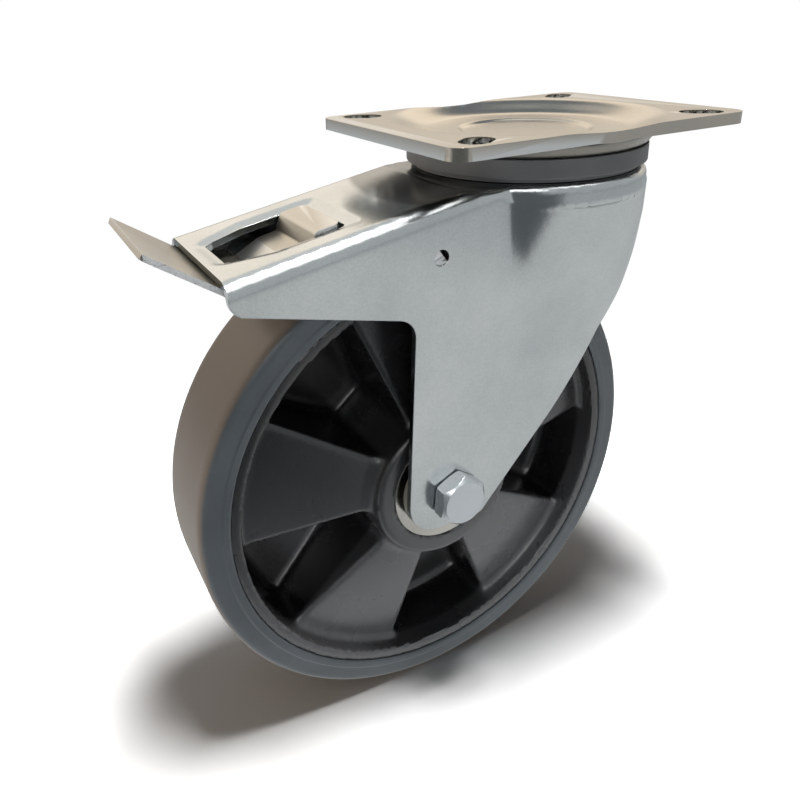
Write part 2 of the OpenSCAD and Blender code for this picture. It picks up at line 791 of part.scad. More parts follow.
// Tube with flat ends through the points of a route
module wire(route, r, sides) {
    n = len(route);
    rings = [for (i = [0:n - 1])
        let (d = unit3(route[min(i + 1, n - 1)] - route[max(i - 1, 0)]),
             u = unit3(cross(d, [0.1, 1, 0.05])), v = cross(u, d))
        each [for (k = [0:sides - 1])
            route[i] + r * (cos(k * 360 / sides) * u + sin(k * 360 / sides) * v)]];
    faces = concat([[for (k = [0:sides - 1]) k]],
                   [[for (k = [sides - 1:-1:0]) (n - 1) * sides + k]],
                   [for (i = [0:n - 2], k = [0:sides - 1])
                       [i * sides + k, (i + 1) * sides + k,
                        (i + 1) * sides + (k + 1) % sides, i * sides + (k + 1) % sides]]);
    polyhedron(rings, faces);
}

function unit3(v) = v / norm(v);

module brake_plate() {
    cheek_t = 3;
    cheek_r = stub_d / 2 + 2.5;
    cheek_y = brake_w / 2 - cheek_t;
    nose_w = 26;
    tail_w = 40;
    body_from = press_x + 4;
    body_to = hinge_x + 10;
    color("silver") {
        union() {
            intersection() {
                along_y(brake_w) strip(brake_path, brake_t);
                union() {
                    translate([body_from, -big / 2, -big]) cube([body_to - body_from, big, big]);
                    translate([-big, -tail_w / 2, -big]) cube([big + body_to, tail_w, big]);
                    translate([-big, -nose_w / 2, -big]) cube([big, nose_w, big]);
                }
            }
            for (s = [-1, 1]) {
                translate([0, s * (cheek_y + cheek_t / 2), 0]) along_y(cheek_t) {
                    translate([hinge_x, hinge_z]) circle(cheek_r);
                    translate([hinge_x - cheek_r, hinge_z]) square([2 * cheek_r, 4.5]);
                }
                y_rod(stub_d / 2, s > 0 ? cheek_y + 1 : -leg_out_y + 0.6,
                      s > 0 ? leg_out_y - 0.6 : -cheek_y - 1, hinge_x, hinge_z);
            }
        }
    }
}

module brake_shoe() {
    shoe_w = 34;
    from = press_top - (press_tail - 1) * press_dir + under_press;
    to = press_top + 1.5 * press_dir + under_press;
    down = 12 * [press_dir[1], -press_dir[0]];
    color("#333333") difference() {
        along_y(shoe_w) polygon([from, to, to + down, from + down]);
        y_rod(wheel_r + shoe_gap, -wheel_w, wheel_w, axle_x, axle_z, $fn = 480);
    }
}

top_plate();
seal_ring();
upper_balls();
kingpin();
lower_balls();
lower_race_cup();
swivel_lock_disc();
king_nut();
fork();
axle_bolt();
axle_washer();
axle_nut();
axle_tube();
distance_collars();
bearing_spacer();
near_bearing_outer_ring();
near_bearing_inner_ring();
near_bearing_balls();
near_bearing_shields();
far_bearing_outer_ring();
far_bearing_inner_ring();
far_bearing_balls();
far_bearing_shields();
rim();
tyre();
brake_pedal();
pedal_pin();
pedal_spring();
brake_plate();
brake_shoe();
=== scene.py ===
import json
import math

import bpy
import numpy as np
from mathutils import Matrix, Vector


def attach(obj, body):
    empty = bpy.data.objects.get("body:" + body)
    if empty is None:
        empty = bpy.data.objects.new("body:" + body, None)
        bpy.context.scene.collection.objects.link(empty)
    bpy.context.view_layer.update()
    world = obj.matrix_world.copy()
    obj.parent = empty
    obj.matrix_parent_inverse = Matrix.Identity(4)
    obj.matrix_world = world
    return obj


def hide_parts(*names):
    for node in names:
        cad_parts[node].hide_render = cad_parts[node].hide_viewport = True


# Swivel castor with a total brake. Lengths in the dictionaries are millimetres, meshes are in metres.
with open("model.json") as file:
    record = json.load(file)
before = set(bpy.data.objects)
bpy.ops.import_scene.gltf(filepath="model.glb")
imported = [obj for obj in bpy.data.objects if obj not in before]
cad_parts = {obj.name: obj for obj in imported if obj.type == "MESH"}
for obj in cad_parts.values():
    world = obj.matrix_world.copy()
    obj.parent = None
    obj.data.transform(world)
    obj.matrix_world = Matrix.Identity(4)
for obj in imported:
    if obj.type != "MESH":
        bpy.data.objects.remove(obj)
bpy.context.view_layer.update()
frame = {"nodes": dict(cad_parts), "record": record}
cadNodes = frame["nodes"]
bodyOfNode = {n: b for b, ns in frame["record"]["behaviour"]["bodies"].items() for n in ns}
mm = 0.001
print("frame loaded:", len(cadNodes), "nodes")


# ---- small helpers for modelling ----

def pickOnly(piece):
    bpy.ops.object.select_all(action="DESELECT")
    piece.select_set(True)
    bpy.context.view_layer.objects.active = piece


def runModifier(piece, kind, **settings):
    pickOnly(piece)
    step = piece.modifiers.new(kind.lower(), kind)
    for key, value in settings.items():
        setattr(step, key, value)
    bpy.ops.object.modifier_apply(modifier=step.name)


def cleanUp(piece, merge=0.002, flat=None, outward=True):
    # merges doubles, dissolves flat ground and turns the faces outwards
    pickOnly(piece)
    bpy.ops.object.mode_set(mode="EDIT")
    bpy.ops.mesh.select_all(action="SELECT")
    bpy.ops.mesh.remove_doubles(threshold=merge * mm)
    if flat is not None:
        bpy.ops.mesh.dissolve_limited(angle_limit=math.radians(flat), use_dissolve_boundaries=False)
    if outward:
        bpy.ops.mesh.select_all(action="SELECT")
        bpy.ops.mesh.normals_make_consistent(inside=False)
    bpy.ops.object.mode_set(mode="OBJECT")


def smoothShade(piece, angle=32, weighted=True):
    pickOnly(piece)
    bpy.ops.object.shade_smooth_by_angle(angle=math.radians(angle))
    if weighted:
        runModifier(piece, "WEIGHTED_NORMAL", keep_sharp=True, weight=60)


def settle(piece):
    # the object goes to the origin, its place stays in the mesh
    pickOnly(piece)
    bpy.ops.object.transform_apply(location=True, rotation=True, scale=True)


def prism(name, points, low, high, axis="Y"):
    # an outline of points, filled and extruded along an axis
    bpy.ops.object.select_all(action="DESELECT")
    bpy.ops.mesh.primitive_circle_add(vertices=len(points), radius=1, fill_type="NGON")
    piece = bpy.context.object
    piece.name = name
    place = {"X": lambda a, b, h: (h, a, b), "Y": lambda a, b, h: (a, h, b), "Z": lambda a, b, h: (a, b, h)}[axis]
    for vertex, (a, b) in zip(piece.data.vertices, points):
        vertex.co = Vector(place(a, b, low)) * mm
    bpy.ops.object.mode_set(mode="EDIT")
    bpy.ops.mesh.select_all(action="SELECT")
    bpy.ops.mesh.extrude_region_move(TRANSFORM_OT_translate={"value": Vector(place(0, 0, high - low)) * mm})
    bpy.ops.mesh.select_all(action="SELECT")
    bpy.ops.mesh.normals_make_consistent(inside=False)
    bpy.ops.object.mode_set(mode="OBJECT")
    return piece


def spun(name, profile, centre=(0, 0, 0), axis="Z", steps=128):
    # a closed profile of (radius, height) points, spun about Z or about the wheel's axle
    bpy.ops.object.select_all(action="DESELECT")
    bpy.ops.mesh.primitive_circle_add(vertices=len(profile), radius=1, fill_type="NOTHING")
    piece = bpy.context.object
    piece.name = name
    centre = Vector(centre) * mm
    turn = Vector((0, 0, 1)) if axis == "Z" else Vector((0, 1, 0))
    for vertex, (r, h) in zip(piece.data.vertices, profile):
        vertex.co = centre + (Vector((r, 0, h)) if axis == "Z" else Vector((r, h, 0))) * mm
    bpy.ops.object.mode_set(mode="EDIT")
    bpy.ops.mesh.select_all(action="SELECT")
    bpy.ops.mesh.spin(steps=steps, angle=2 * math.pi, center=centre, axis=turn)
    bpy.ops.object.mode_set(mode="OBJECT")
    cleanUp(piece, merge=0.001)
    return piece


def rod(name, radius, low, high, place, axis="Y", sides=64):
    a, b = place
    turns = [2 * math.pi * i / sides for i in range(sides)]
    return prism(name, [(a + radius * math.cos(t), b + radius * math.sin(t)) for t in turns], low, high, axis)


def joined(pieces, name):
    bpy.ops.object.select_all(action="DESELECT")
    for piece in pieces:
        piece.select_set(True)
    bpy.context.view_layer.objects.active = pieces[0]
    bpy.ops.object.join()
    pieces[0].name = name
    return pieces[0]


def carve(piece, cutter, way="DIFFERENCE"):
    runModifier(piece, "BOOLEAN", operation=way, solver="EXACT", object=cutter)
    bpy.data.objects.remove(cutter)


def breakEdges(piece, width, angle, segments=2):
    # every edge sharper than the angle gets a small round
    runModifier(piece, "BEVEL", width=width * mm, segments=segments, limit_method="ANGLE",
                angle_limit=math.radians(angle))


def unit(vector):
    return vector / np.linalg.norm(vector)


def arcPoints(centre, radius, start, end, steps):
    turns = np.radians(np.linspace(start, end, steps + 1))
    return [np.array([centre[0] + radius * math.cos(t), centre[1] + radius * math.sin(t)]) for t in turns]


def roundCorners(points, radii, steps=6):
    # the inner corners of a path take the radius that stands at the same place
    path = [np.array(p, float) for p in points]
    out = []
    for i, p in enumerate(path):
        if i in (0, len(path) - 1) or not radii[i]:
            out.append(p)
            continue
        u, v = unit(path[i - 1] - p), unit(path[i + 1] - p)
        half = math.acos(float(np.dot(u, v))) / 2
        middle = p + unit(u + v) * radii[i] / math.sin(half)
        a = p + u * radii[i] / math.tan(half) - middle
        b = p + v * radii[i] / math.tan(half) - middle
        sweep = math.copysign(math.pi - 2 * half, a[0] * b[1] - a[1] * b[0])
        for k in range(steps + 1):
            c, s = math.cos(sweep * k / steps), math.sin(sweep * k / steps)
            out.append(middle + np.array([a[0] * c - a[1] * s, a[0] * s + a[1] * c]))
    return out


# ---- soft skins: a rough block is remeshed and its points are laid on a smooth distance field ----

def softMin(a, b, k):
    h = np.maximum(k - np.abs(a - b), 0) / k
    return np.minimum(a, b) - h * h * k / 4


def softMax(a, b, k):
    return -softMin(-a, -b, k)


def roundedCorner(a, b, r):
    # inside where both a and b are below 0, with their common edge rounded to radius r
    p, q = a + r, b + r
    return np.minimum(np.maximum(p, q), 0) + np.hypot(np.maximum(p, 0), np.maximum(q, 0)) - r


def layOnField(piece, field, reach, rounds=6):
    # each point within reach of the surface steps along the field's slope onto it
    mesh = piece.data
    flat = np.empty(len(mesh.vertices) * 3)
    mesh.vertices.foreach_get("co", flat)
    points = flat.reshape(-1, 3) / mm
    near = np.abs(field(points)) < reach
    small = 0.02
    for _ in range(rounds):
        p = points[near]
        value = field(p)
        slope = np.stack([(field(p + d) - field(p - d)) / (2 * small) for d in np.eye(3) * small], axis=1)
        size = np.maximum((slope ** 2).sum(1), 0.2)
        points[near] = p - np.clip(value / size, -1, 1)[:, None] * slope
    mesh.vertices.foreach_set("co", (points * mm).ravel())
    mesh.update()


# ---- small helpers for materials ----

def plug(tree, socket, value):
    # another node's socket is linked, a plain value is set on the node itself
    if isinstance(value, bpy.types.NodeSocket):
        tree.links.new(value, socket)
    else:
        socket.default_value = value


def addNode(tree, kind, settings=None, **inputs):
    node = tree.nodes.new(kind)
    for key, value in (settings or {}).items():
        setattr(node, key, value)
    for key, value in inputs.items():
        numbered = key[0] == "i" and key[1:].isdigit()
        plug(tree, node.inputs[int(key[1:]) if numbered else key.replace("_", " ")], value)
    return node


def placeGroup(tree, group, **inputs):
    return addNode(tree, "ShaderNodeGroup", {"node_tree": group}, **inputs).outputs


def mathOf(tree, kind, a, b=0.0):
    return addNode(tree, "ShaderNodeMath", {"operation": kind}, i0=a, i1=b).outputs["Value"]


def times(tree, a, b):
    return mathOf(tree, "MULTIPLY", a, b)


def sizeOf(tree, a):
    return mathOf(tree, "ABSOLUTE", a)


def lengthOf(tree, a, b):
    return mathOf(tree, "SQRT", mathOf(tree, "ADD", times(tree, a, a), times(tree, b, b)))


def mapOf(tree, value, start, end, low=0.0, high=1.0, kind="LINEAR"):
    return addNode(tree, "ShaderNodeMapRange", {"interpolation_type": kind}, Value=value,
                   i1=start, i2=end, i3=low, i4=high).outputs["Result"]


def softStep(tree, value, start, end):
    return mapOf(tree, value, start, end, kind="SMOOTHSTEP")


def axesOf(tree, vector):
    return addNode(tree, "ShaderNodeSeparateXYZ", None, Vector=vector).outputs


def facing(tree, which="Normal"):
    return axesOf(tree, addNode(tree, "ShaderNodeNewGeometry").outputs[which])


def noiseOf(tree, where, scale, detail, roughness=0.5):
    return addNode(tree, "ShaderNodeTexNoise", None, Vector=where, Scale=scale, Detail=detail,
                   Roughness=roughness).outputs["Fac"]


def rampOf(tree, value, stops, mode="LINEAR"):
    ramp = addNode(tree, "ShaderNodeValToRGB", None, Fac=value)
    ramp.color_ramp.interpolation = mode
    elements = ramp.color_ramp.elements
    while len(elements) < len(stops):
        elements.new(0.5)
    for element, (place, shade) in zip(elements, stops):
        element.position = place
        element.color = (*shade, 1) if isinstance(shade, tuple) else (shade, shade, shade, 1)
    return ramp.outputs["Color"]


def mixOf(tree, factor, a, b, kind="RGBA", blend="MIX"):
    mix = addNode(tree, "ShaderNodeMix", {"data_type": kind})
    if kind == "RGBA":
        mix.blend_type = blend
    first, second, result = {"RGBA": (6, 7, 2), "FLOAT": (2, 3, 0)}[kind]
    plug(tree, mix.inputs[0], factor)
    for place, value in ((first, a), (second, b)):
        plug(tree, mix.inputs[place], (*value, 1) if isinstance(value, tuple) else value)
    return mix.outputs[result]


def newGroup(name, inputs, outputs):
    group = bpy.data.node_groups.new(name, "ShaderNodeTree")
    for label, value in inputs.items():
        kind = "NodeSocketVector" if isinstance(value, tuple) else "NodeSocketFloat"
        group.interface.new_socket(name=label, in_out="INPUT", socket_type=kind).default_value = value
    for label in outputs:
        group.interface.new_socket(name=label, in_out="OUTPUT", socket_type="NodeSocketFloat")
    return group, group.nodes.new("NodeGroupInput").outputs, group.nodes.new("NodeGroupOutput").inputs


# ---- finishes ----

def buildCloudGroup():
    # slow changes of tone over a surface, with fine speckle
    group, enter, leave = newGroup("toneCloud", {"Vector": (0, 0, 0), "Scale": 40.0, "Speckle Scale": 1400.0,
                                                 "Seed": 0.0}, ["Cloud", "Speckle"])
    slow = addNode(group, "ShaderNodeTexNoise", {"noise_dimensions": "4D"}, Vector=enter["Vector"],
                   W=enter["Seed"], Scale=enter["Scale"], Detail=4.0, Roughness=0.55)
    plug(group, leave["Cloud"], slow.outputs["Fac"])
    plug(group, leave["Speckle"], noiseOf(group, enter["Vector"], enter["Speckle Scale"], 2.0))
    return group


def buildEdgeGroup():
    # 1 along raised edges and 0 on flat ground and in hollows: on steel it places a painted highlight, on plastic
    # paler dust
    group, enter, leave = newGroup("edgeHighlightAndDust", {"Low": 0.52, "High": 0.6}, ["Edge"])
    point = addNode(group, "ShaderNodeNewGeometry").outputs["Pointiness"]
    plug(group, leave["Edge"], mapOf(group, point, enter["Low"], enter["High"]))
    return group


def buildGrainGroup():
    # fine moulded or rolled grain as a height
    group, enter, leave = newGroup("fineGrain", {"Vector": (0, 0, 0), "Scale": 1500.0}, ["Height"])
    plug(group, leave["Height"], noiseOf(group, enter["Vector"], enter["Scale"], 3.0, 0.6))
    return group


toneCloud, edgeHighlightAndDust, fineGrain = buildCloudGroup(), buildEdgeGroup(), buildGrainGroup()


def startFinish(name, seed, cloudScale, edgeSpan, grainScale):
    # what every finish is made from: place on the piece, cloud, an edge mask (painted highlight on steel, dust on
    # plastic) and grain
    material = bpy.data.materials.new(name)
    material.use_nodes = True
    tree = material.node_tree
    where = addNode(tree, "ShaderNodeTexCoord").outputs["Object"]
    cloud = placeGroup(tree, toneCloud, Vector=where, Scale=cloudScale, Seed=seed)
    edge = placeGroup(tree, edgeHighlightAndDust, Low=edgeSpan[0], High=edgeSpan[1])["Edge"]
    grain = placeGroup(tree, fineGrain, Vector=where, Scale=grainScale)["Height"]
    return material, where, cloud, edge, grain


def fillShader(tree, height, bump, bumpDepth, softEdge, **looks):
    shader = tree.nodes["Principled BSDF"]
    lift = addNode(tree, "ShaderNodeBump", None, Height=height, Strength=bump, Distance=bumpDepth * mm)
    if softEdge:
        broken = addNode(tree, "ShaderNodeBevel", {"samples": 4}, Radius=softEdge * mm)
        plug(tree, lift.inputs["Normal"], broken.outputs["Normal"])
    for name, value in {"Normal": lift.outputs["Normal"], **looks}.items():
        plug(tree, shader.inputs[name.replace("_", " ")], value)


# lengths in millimetres, from the swivel axis and the plate's top face or, where named so, from the axle
tornFace = {"dark": (0.35, 0.36, 0.37), "pale": (1.0, 1.0, 1.0), "rough": 0.5}
undersideShadeTone = {"colour": (0.03, 0.038, 0.036), "metallic": 0.2}
slotWallPaint = {"slotX": 52.5, "slotY": 40, "reach": 8.2, "soft": 0.4, "from": -0.3, "to": -0.9,
            "dark": (0.05, 0.055, 0.05), "fleck": (1.0, 0.99, 0.96)}
innerShadeTone = {"colour": (0.04, 0.045, 0.045)}
webReflectionPaint = {"near": 50, "width": 40, "tones": [(0.2, 0.08), (0.32, 0.1), (0.4, 0.17), (0.475, 0.32), (0.58, 1.0)],
            "besideFrom": 6, "besideTo": 24, "besideTone": (0.45, 0.45, 0.45), "lowest": -45, "full": -40}
rearCut = {"from": -138.4, "to": -139, "halfOut": 31, "halfIn": 28.5, "colour": (0.05, 0.065, 0.065)}
panelLightPaint = {"high": -100, "low": -200, "inner": 10.5, "outer": 13.5, "upper": (0.35, 0.35, 0.35), "lift": 3.0}
runningFace = {"axle": (-55, -140), "radius": 99.6, "soft": 1.4, "colour": (0.235, 0.192, 0.158)}


def tornSides(tree, where, colour, roughness, height, depth, v=tornFace):
    # the cut side faces of the sheet are torn, paler and rough
    face = mapOf(tree, sizeOf(tree, facing(tree, "True Normal")["Y"]), 0.8, 0.95)
    torn = noiseOf(tree, where, 900.0, 4.0, 0.7)
    colour = mixOf(tree, face, colour, rampOf(tree, torn, [(0.34, v["dark"]), (0.42, v["pale"])]))
    roughness = mixOf(tree, face, roughness, v["rough"], kind="FLOAT")
    height = mixOf(tree, face, height, times(tree, torn, depth), kind="FLOAT")
    return colour, mapOf(tree, face, 0.0, 1.0, 1.0, 0.0), roughness, height


def paintUndersideShade(tree, colour, share, v=undersideShadeTone):
    # painted shade: faces that look down are painted near-black and less metallic
    below = mapOf(tree, facing(tree)["Z"], -0.3, -0.8, 0.0, share)
    return mixOf(tree, below, colour, v["colour"]), mapOf(tree, below, 0.0, 1.0, 1.0, v["metallic"])


def paintSlotWalls(tree, where, colour, v=slotWallPaint):
    # the punched walls of the plate's slots have a torn texture, painted dark as shade in the holes, with bright
    # flecks as painted glints
    spot = axesOf(tree, where)
    away = lengthOf(tree, mathOf(tree, "SUBTRACT", sizeOf(tree, spot["X"]), v["slotX"] * mm),
                    mathOf(tree, "SUBTRACT", sizeOf(tree, spot["Y"]), v["slotY"] * mm))
    wall = times(tree, softStep(tree, away, (v["reach"] + v["soft"]) * mm, v["reach"] * mm),
                 softStep(tree, spot["Z"], v["from"] * mm, v["to"] * mm))
    glintNoise = noiseOf(tree, where, 420.0, 3.0, 0.6)
    return mixOf(tree, wall, colour, rampOf(tree, glintNoise, [(0.42, v["dark"]), (0.5, v["fleck"])]))


def paintInnerShade(tree, spot, faces, colour, share, v=innerShadeTone):
    # painted shade: faces that look into the fork or down are painted near-black
    towards = times(tree, faces["Y"], mathOf(tree, "SIGN", spot["Y"]))
    inward = mathOf(tree, "MINIMUM", towards, faces["Z"])
    return mixOf(tree, mapOf(tree, inward, -0.35, -0.7, 0.0, share), colour, v["colour"])


def paintWebReflection(tree, spot, faces, colour, v=webReflectionPaint):
    # painted reflection: the web is painted darker where it meets the head, as a mirrored dark band, less so beside
    # the middle
    level = addNode(tree, "ShaderNodeCombineXYZ", None, X=spot["X"], Y=spot["Y"]).outputs["Vector"]
    away = addNode(tree, "ShaderNodeVectorMath", {"operation": "LENGTH"}, i0=level).outputs["Value"]
    share = mathOf(tree, "DIVIDE", mathOf(tree, "SUBTRACT", away, v["near"] * mm), v["width"] * mm)
    beside = softStep(tree, sizeOf(tree, spot["Y"]), v["besideFrom"] * mm, v["besideTo"] * mm)
    shade = mixOf(tree, beside, rampOf(tree, share, v["tones"], "EASE"), v["besideTone"], blend="LIGHTEN")
    onWeb = times(tree, softStep(tree, faces["Z"], 0.75, 0.93),
                  softStep(tree, spot["Z"], v["lowest"] * mm, v["full"] * mm))
    return mixOf(tree, onWeb, colour, mixOf(tree, 1.0, colour, shade, blend="MULTIPLY"))


def shadedRearCut(tree, spot, faces, colour, v=rearCut):
    # painted shade: the web's cut rear edge is painted dark as the pedal's shade
    cut = times(tree, softStep(tree, faces["X"], -0.8, -0.93), softStep(tree, spot["X"], v["from"] * mm, v["to"] * mm))
    cut = times(tree, cut, softStep(tree, sizeOf(tree, spot["Y"]), v["halfOut"] * mm, v["halfIn"] * mm))
    return mixOf(tree, cut, colour, v["colour"])


def zincFinish(name, tone, shade, highlightColour, rough=0.26, cloudScale=22.0, bump=0.06, seed=0.0, metallic=1.0,
               highlightFrom=0.53, torn=0.0, shadeBelowShare=0.0, slotWallsPainted=False, innerShadeShare=0.0, softEdge=0.0):
    # plated or ground steel: clouded tone, fine speckle and a painted highlight along the edges
    material, where, cloud, edge, height = startFinish(name, seed, cloudScale, (highlightFrom, highlightFrom + 0.09), 700.0)
    tree = material.node_tree
    colour = mixOf(tree, rampOf(tree, cloud["Cloud"], [(0.36, 0.0), (0.64, 1.0)]), shade, tone)
    speck = rampOf(tree, cloud["Speckle"], [(0.35, 0.94), (0.65, 1.0)])
    # painted highlight: raised edges are painted the bright colour
    colour = mixOf(tree, edge, mixOf(tree, 1.0, colour, speck, blend="MULTIPLY"), highlightColour)
    roughness = mapOf(tree, cloud["Cloud"], 0.3, 0.7, rough + 0.05, rough - 0.03)
    if torn:
        colour, metallic, roughness, height = tornSides(tree, where, colour, roughness, height, torn)
    # painted shade on the faces that look down
    if shadeBelowShare:
        colour, metallic = paintUndersideShade(tree, colour, shadeBelowShare)
    # painted shade and glints on the slot walls
    if slotWallsPainted:
        colour = paintSlotWalls(tree, where, colour)
    # painted shade inside the fork, painted reflection on the web and painted shade on the web's rear cut
    if innerShadeShare:
        spot, faces = axesOf(tree, where), facing(tree)
        colour = paintInnerShade(tree, spot, faces, colour, innerShadeShare)
        colour = shadedRearCut(tree, spot, faces, paintWebReflection(tree, spot, faces, colour))
    fillShader(tree, height, bump, 0.4, softEdge, Base_Color=colour, Roughness=roughness, Metallic=metallic)
    return material


def paintPanelLight(tree, spot, colour, tone, v=panelLightPaint):
    # painted light: the faces of the rim's lower panels are painted paler, as the floor's sheen, and the rest darker,
    # as shade under the fork; the paint turns with the wheel
    outside = softStep(tree, sizeOf(tree, spot["Y"]), v["inner"] * mm, v["outer"] * mm)
    lower = times(tree, softStep(tree, spot["Z"], v["high"] * mm, v["low"] * mm), outside)
    upper = mixOf(tree, 1.0, tone, v["upper"], blend="MULTIPLY")
    return mixOf(tree, lower, upper, tuple(c * v["lift"] for c in colour))


def brownRunningFace(tree, spot, tone, v=runningFace):
    # the tyre's running face is browner than its flanks
    radius = lengthOf(tree, mathOf(tree, "SUBTRACT", spot["X"], v["axle"][0] * mm),
                      mathOf(tree, "SUBTRACT", spot["Z"], v["axle"][1] * mm))
    crown = softStep(tree, radius, (v["radius"] - v["soft"]) * mm, v["radius"] * mm)
    return mixOf(tree, crown, tone, v["colour"])


def plasticFinish(name, colour, dust, rough=0.35, grainScale=1800.0, bump=0.12, seed=0.0, gloss=0.5,
                  panelLightPainted=False, brownCrown=False):
    # moulded plastic or rubber: slight tone change, paler dust on edges, moulded grain
    material, where, cloud, edge, height = startFinish(name, seed, 30.0, (0.53, 0.66), grainScale)
    tree = material.node_tree
    mask = rampOf(tree, cloud["Cloud"], [(0.38, 0.0), (0.66, 1.0)])
    tone = mixOf(tree, mask, colour, tuple(c * 1.25 for c in colour))
    # painted sheen on the lower panels and painted shade on the rest of the rim
    if panelLightPainted:
        tone = paintPanelLight(tree, axesOf(tree, where), colour, tone)
    if brownCrown:
        tone = brownRunningFace(tree, axesOf(tree, where), tone)
    dusty = mixOf(tree, times(tree, edge, 0.5), tone, dust)
    roughness = mapOf(tree, cloud["Cloud"], 0.3, 0.7, rough - 0.04, rough + 0.05)
    fillShader(tree, height, bump, 0.3, 0.0, Base_Color=dusty, Roughness=roughness, Specular_IOR_Level=gloss)
    return material


finishes = {
    "plate_steel": zincFinish("zincPlate", (0.69, 0.63, 0.54), (0.63, 0.58, 0.505), (0.93, 0.93, 0.91),
                              rough=0.2, seed=1.0, shadeBelowShare=0.95, slotWallsPainted=True),
    "fork_steel": zincFinish("zincFork", (0.74, 0.765, 0.765), (0.63, 0.66, 0.67), (0.93, 0.95, 0.95),
                             rough=0.18, seed=2.0, innerShadeShare=0.95, softEdge=0.45),
    "pedal_steel": zincFinish("zincPedal", (0.63, 0.58, 0.50), (0.57, 0.53, 0.46), (0.93, 0.93, 0.91),
                              rough=0.3, seed=3.0, torn=2.0),
    "brake_steel": zincFinish("zincBrake", (0.72, 0.73, 0.74), (0.62, 0.63, 0.65), (0.96, 0.97, 0.97),
                              rough=0.28, seed=4.0),
    "bolt_steel": zincFinish("zincBolt", (0.76, 0.80, 0.83), (0.70, 0.75, 0.79), (1.0, 1.0, 1.0),
                             rough=0.22, cloudScale=60.0, seed=5.0, metallic=0.75, highlightFrom=0.515),
    "race_steel": zincFinish("groundSteel", (0.5, 0.49, 0.46), (0.42, 0.41, 0.39), (1.0, 0.96, 0.88),
                             rough=0.2, cloudScale=60.0, seed=6.0, bump=0.02, highlightFrom=0.515),
    "hard_steel": zincFinish("hardenedSteel", (0.42, 0.42, 0.43), (0.34, 0.34, 0.35), (0.6, 0.6, 0.61),
                             rough=0.34, seed=7.0),
    "spring_steel": zincFinish("springWire", (0.46, 0.46, 0.47), (0.38, 0.38, 0.4), (0.7, 0.7, 0.7),
                               rough=0.3, seed=8.0),
    "seal_plastic": plasticFinish("sealPlastic", (0.17, 0.17, 0.172), (0.25, 0.25, 0.25), rough=0.42, seed=9.0),
    "shield_plastic": plasticFinish("creamShield", (0.62, 0.58, 0.46), (0.72, 0.7, 0.6), rough=0.4, seed=10.0),
    "rim_nylon": plasticFinish("blackNylon", (0.05, 0.05, 0.051), (0.12, 0.12, 0.122), rough=0.27,
                               grainScale=1300.0, bump=0.2, seed=11.0, gloss=1.0, panelLightPainted=True),
    "tyre_rubber": plasticFinish("tyreRubber", (0.14, 0.157, 0.172), (0.2, 0.21, 0.22), rough=0.34,
                                 grainScale=900.0, bump=0.15, seed=12.0, brownCrown=True),
    "shoe_rubber": plasticFinish("shoeRubber", (0.03, 0.03, 0.03), (0.07, 0.07, 0.07), rough=0.6, seed=13.0),
}
slotOfNode = {s["node"]: s["material_slot"] for s in frame["record"]["subparts"]}
print("finishes made:", len(finishes))


def finishPiece(piece, node):
    # gives the piece the material of its node's slot, puts it on its body and hides the node that it stands for
    piece.data.materials.clear()
    piece.data.materials.append(finishes[slotOfNode[node]])
    settle(piece)
    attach(piece, bodyOfNode[node])
    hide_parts(node)
    print("piece done:", piece.name, len(piece.data.polygons), "faces")


def copyOfNode(node, name, flat=0.5):
    piece = bpy.data.objects.new(name, cadNodes[node].data.copy())
    bpy.context.scene.collection.objects.link(piece)
    cleanUp(piece, merge=0.001, flat=flat, outward=False)
    return piece


# ---- camera ----

cameraView = {"place": (-200.520, -242.410, 41.003), "turn": (1.88012, -0.47157, 0.27374), "lens": 33.734,
              "sensor": 36, "shiftX": 0.06838, "shiftY": -0.13423, "nearest": 10, "farthest": 20000}


def makeCamera(v):
    data = bpy.data.cameras.new("camera")
    data.lens, data.sensor_width = v["lens"], v["sensor"]
    data.shift_x, data.shift_y = v["shiftX"], v["shiftY"]
    data.clip_start, data.clip_end = v["nearest"] * mm, v["farthest"] * mm
    camera = bpy.data.objects.new("camera", data)
    bpy.context.scene.collection.objects.link(camera)
    turn = Vector(v["turn"])
    toView = Matrix.Rotation(turn.length, 3, turn.normalized())
    flip = Matrix(((1, 0, 0), (0, -1, 0), (0, 0, -1)))
    camera.matrix_world = Matrix.Translation(Vector(v["place"]) * mm) @ (toView.transposed() @ flip).to_4x4()
    bpy.context.scene.camera = camera


makeCamera(cameraView)


# ---- fork: one pressed sheet with head, arm, legs and window ----

forkValues = {
    "sheet": 2.5, "legOut": 34, "trail": 55, "drop": 140, "reach": 139.5, "fall": 10.2, "bend": 6,
    # leg's end and side outline, measured from the axle
    "heel": 21, "below": 13.6, "heelR": 13, "toe": 12.9, "toeR": 4, "foot": (47, 23.8), "knee": (17.2, 78),
    "kneeR": 8, "armCorner": 94, "armR": 6, "frontR": 217.5, "frontLean": 50, "frontArc": (-40, -14), "above": 14,
    # head and the cone below it
    "crownR": 47.5, "crownZ": -18.5, "crownEdge": 3, "wallH": 6, "coneLow": -84.5, "coneLowX": 12, "coneLowR": 33.6,
    "headBack": -46, "webDrop": 0.6, "creasePower": 1.15, "coneLean": 0.97, "blend": 3.0,
    # openings
    "archR": 18, "archZ": -29.5, "axleHole": 6, "stubHole": 3.05, "stub": (-61.8, -40.4), "kingHole": 9.5,
    "windowRear": -133, "windowLength": 43.487, "windowHalf": 17.3, "windowRearHalf": 11, "windowTaper": 16,
    "windowChamfer": (3, 2), "windowRadii": (1.5, 4, 2.5), "windowSink": 1.3, "windowBorder": 5.5, "voxel": 1.3}


def webTop(x, v=forkValues):
    return v["crownZ"] - v["webDrop"] + (x + v["crownR"]) * math.tan(math.radians(v["fall"]))


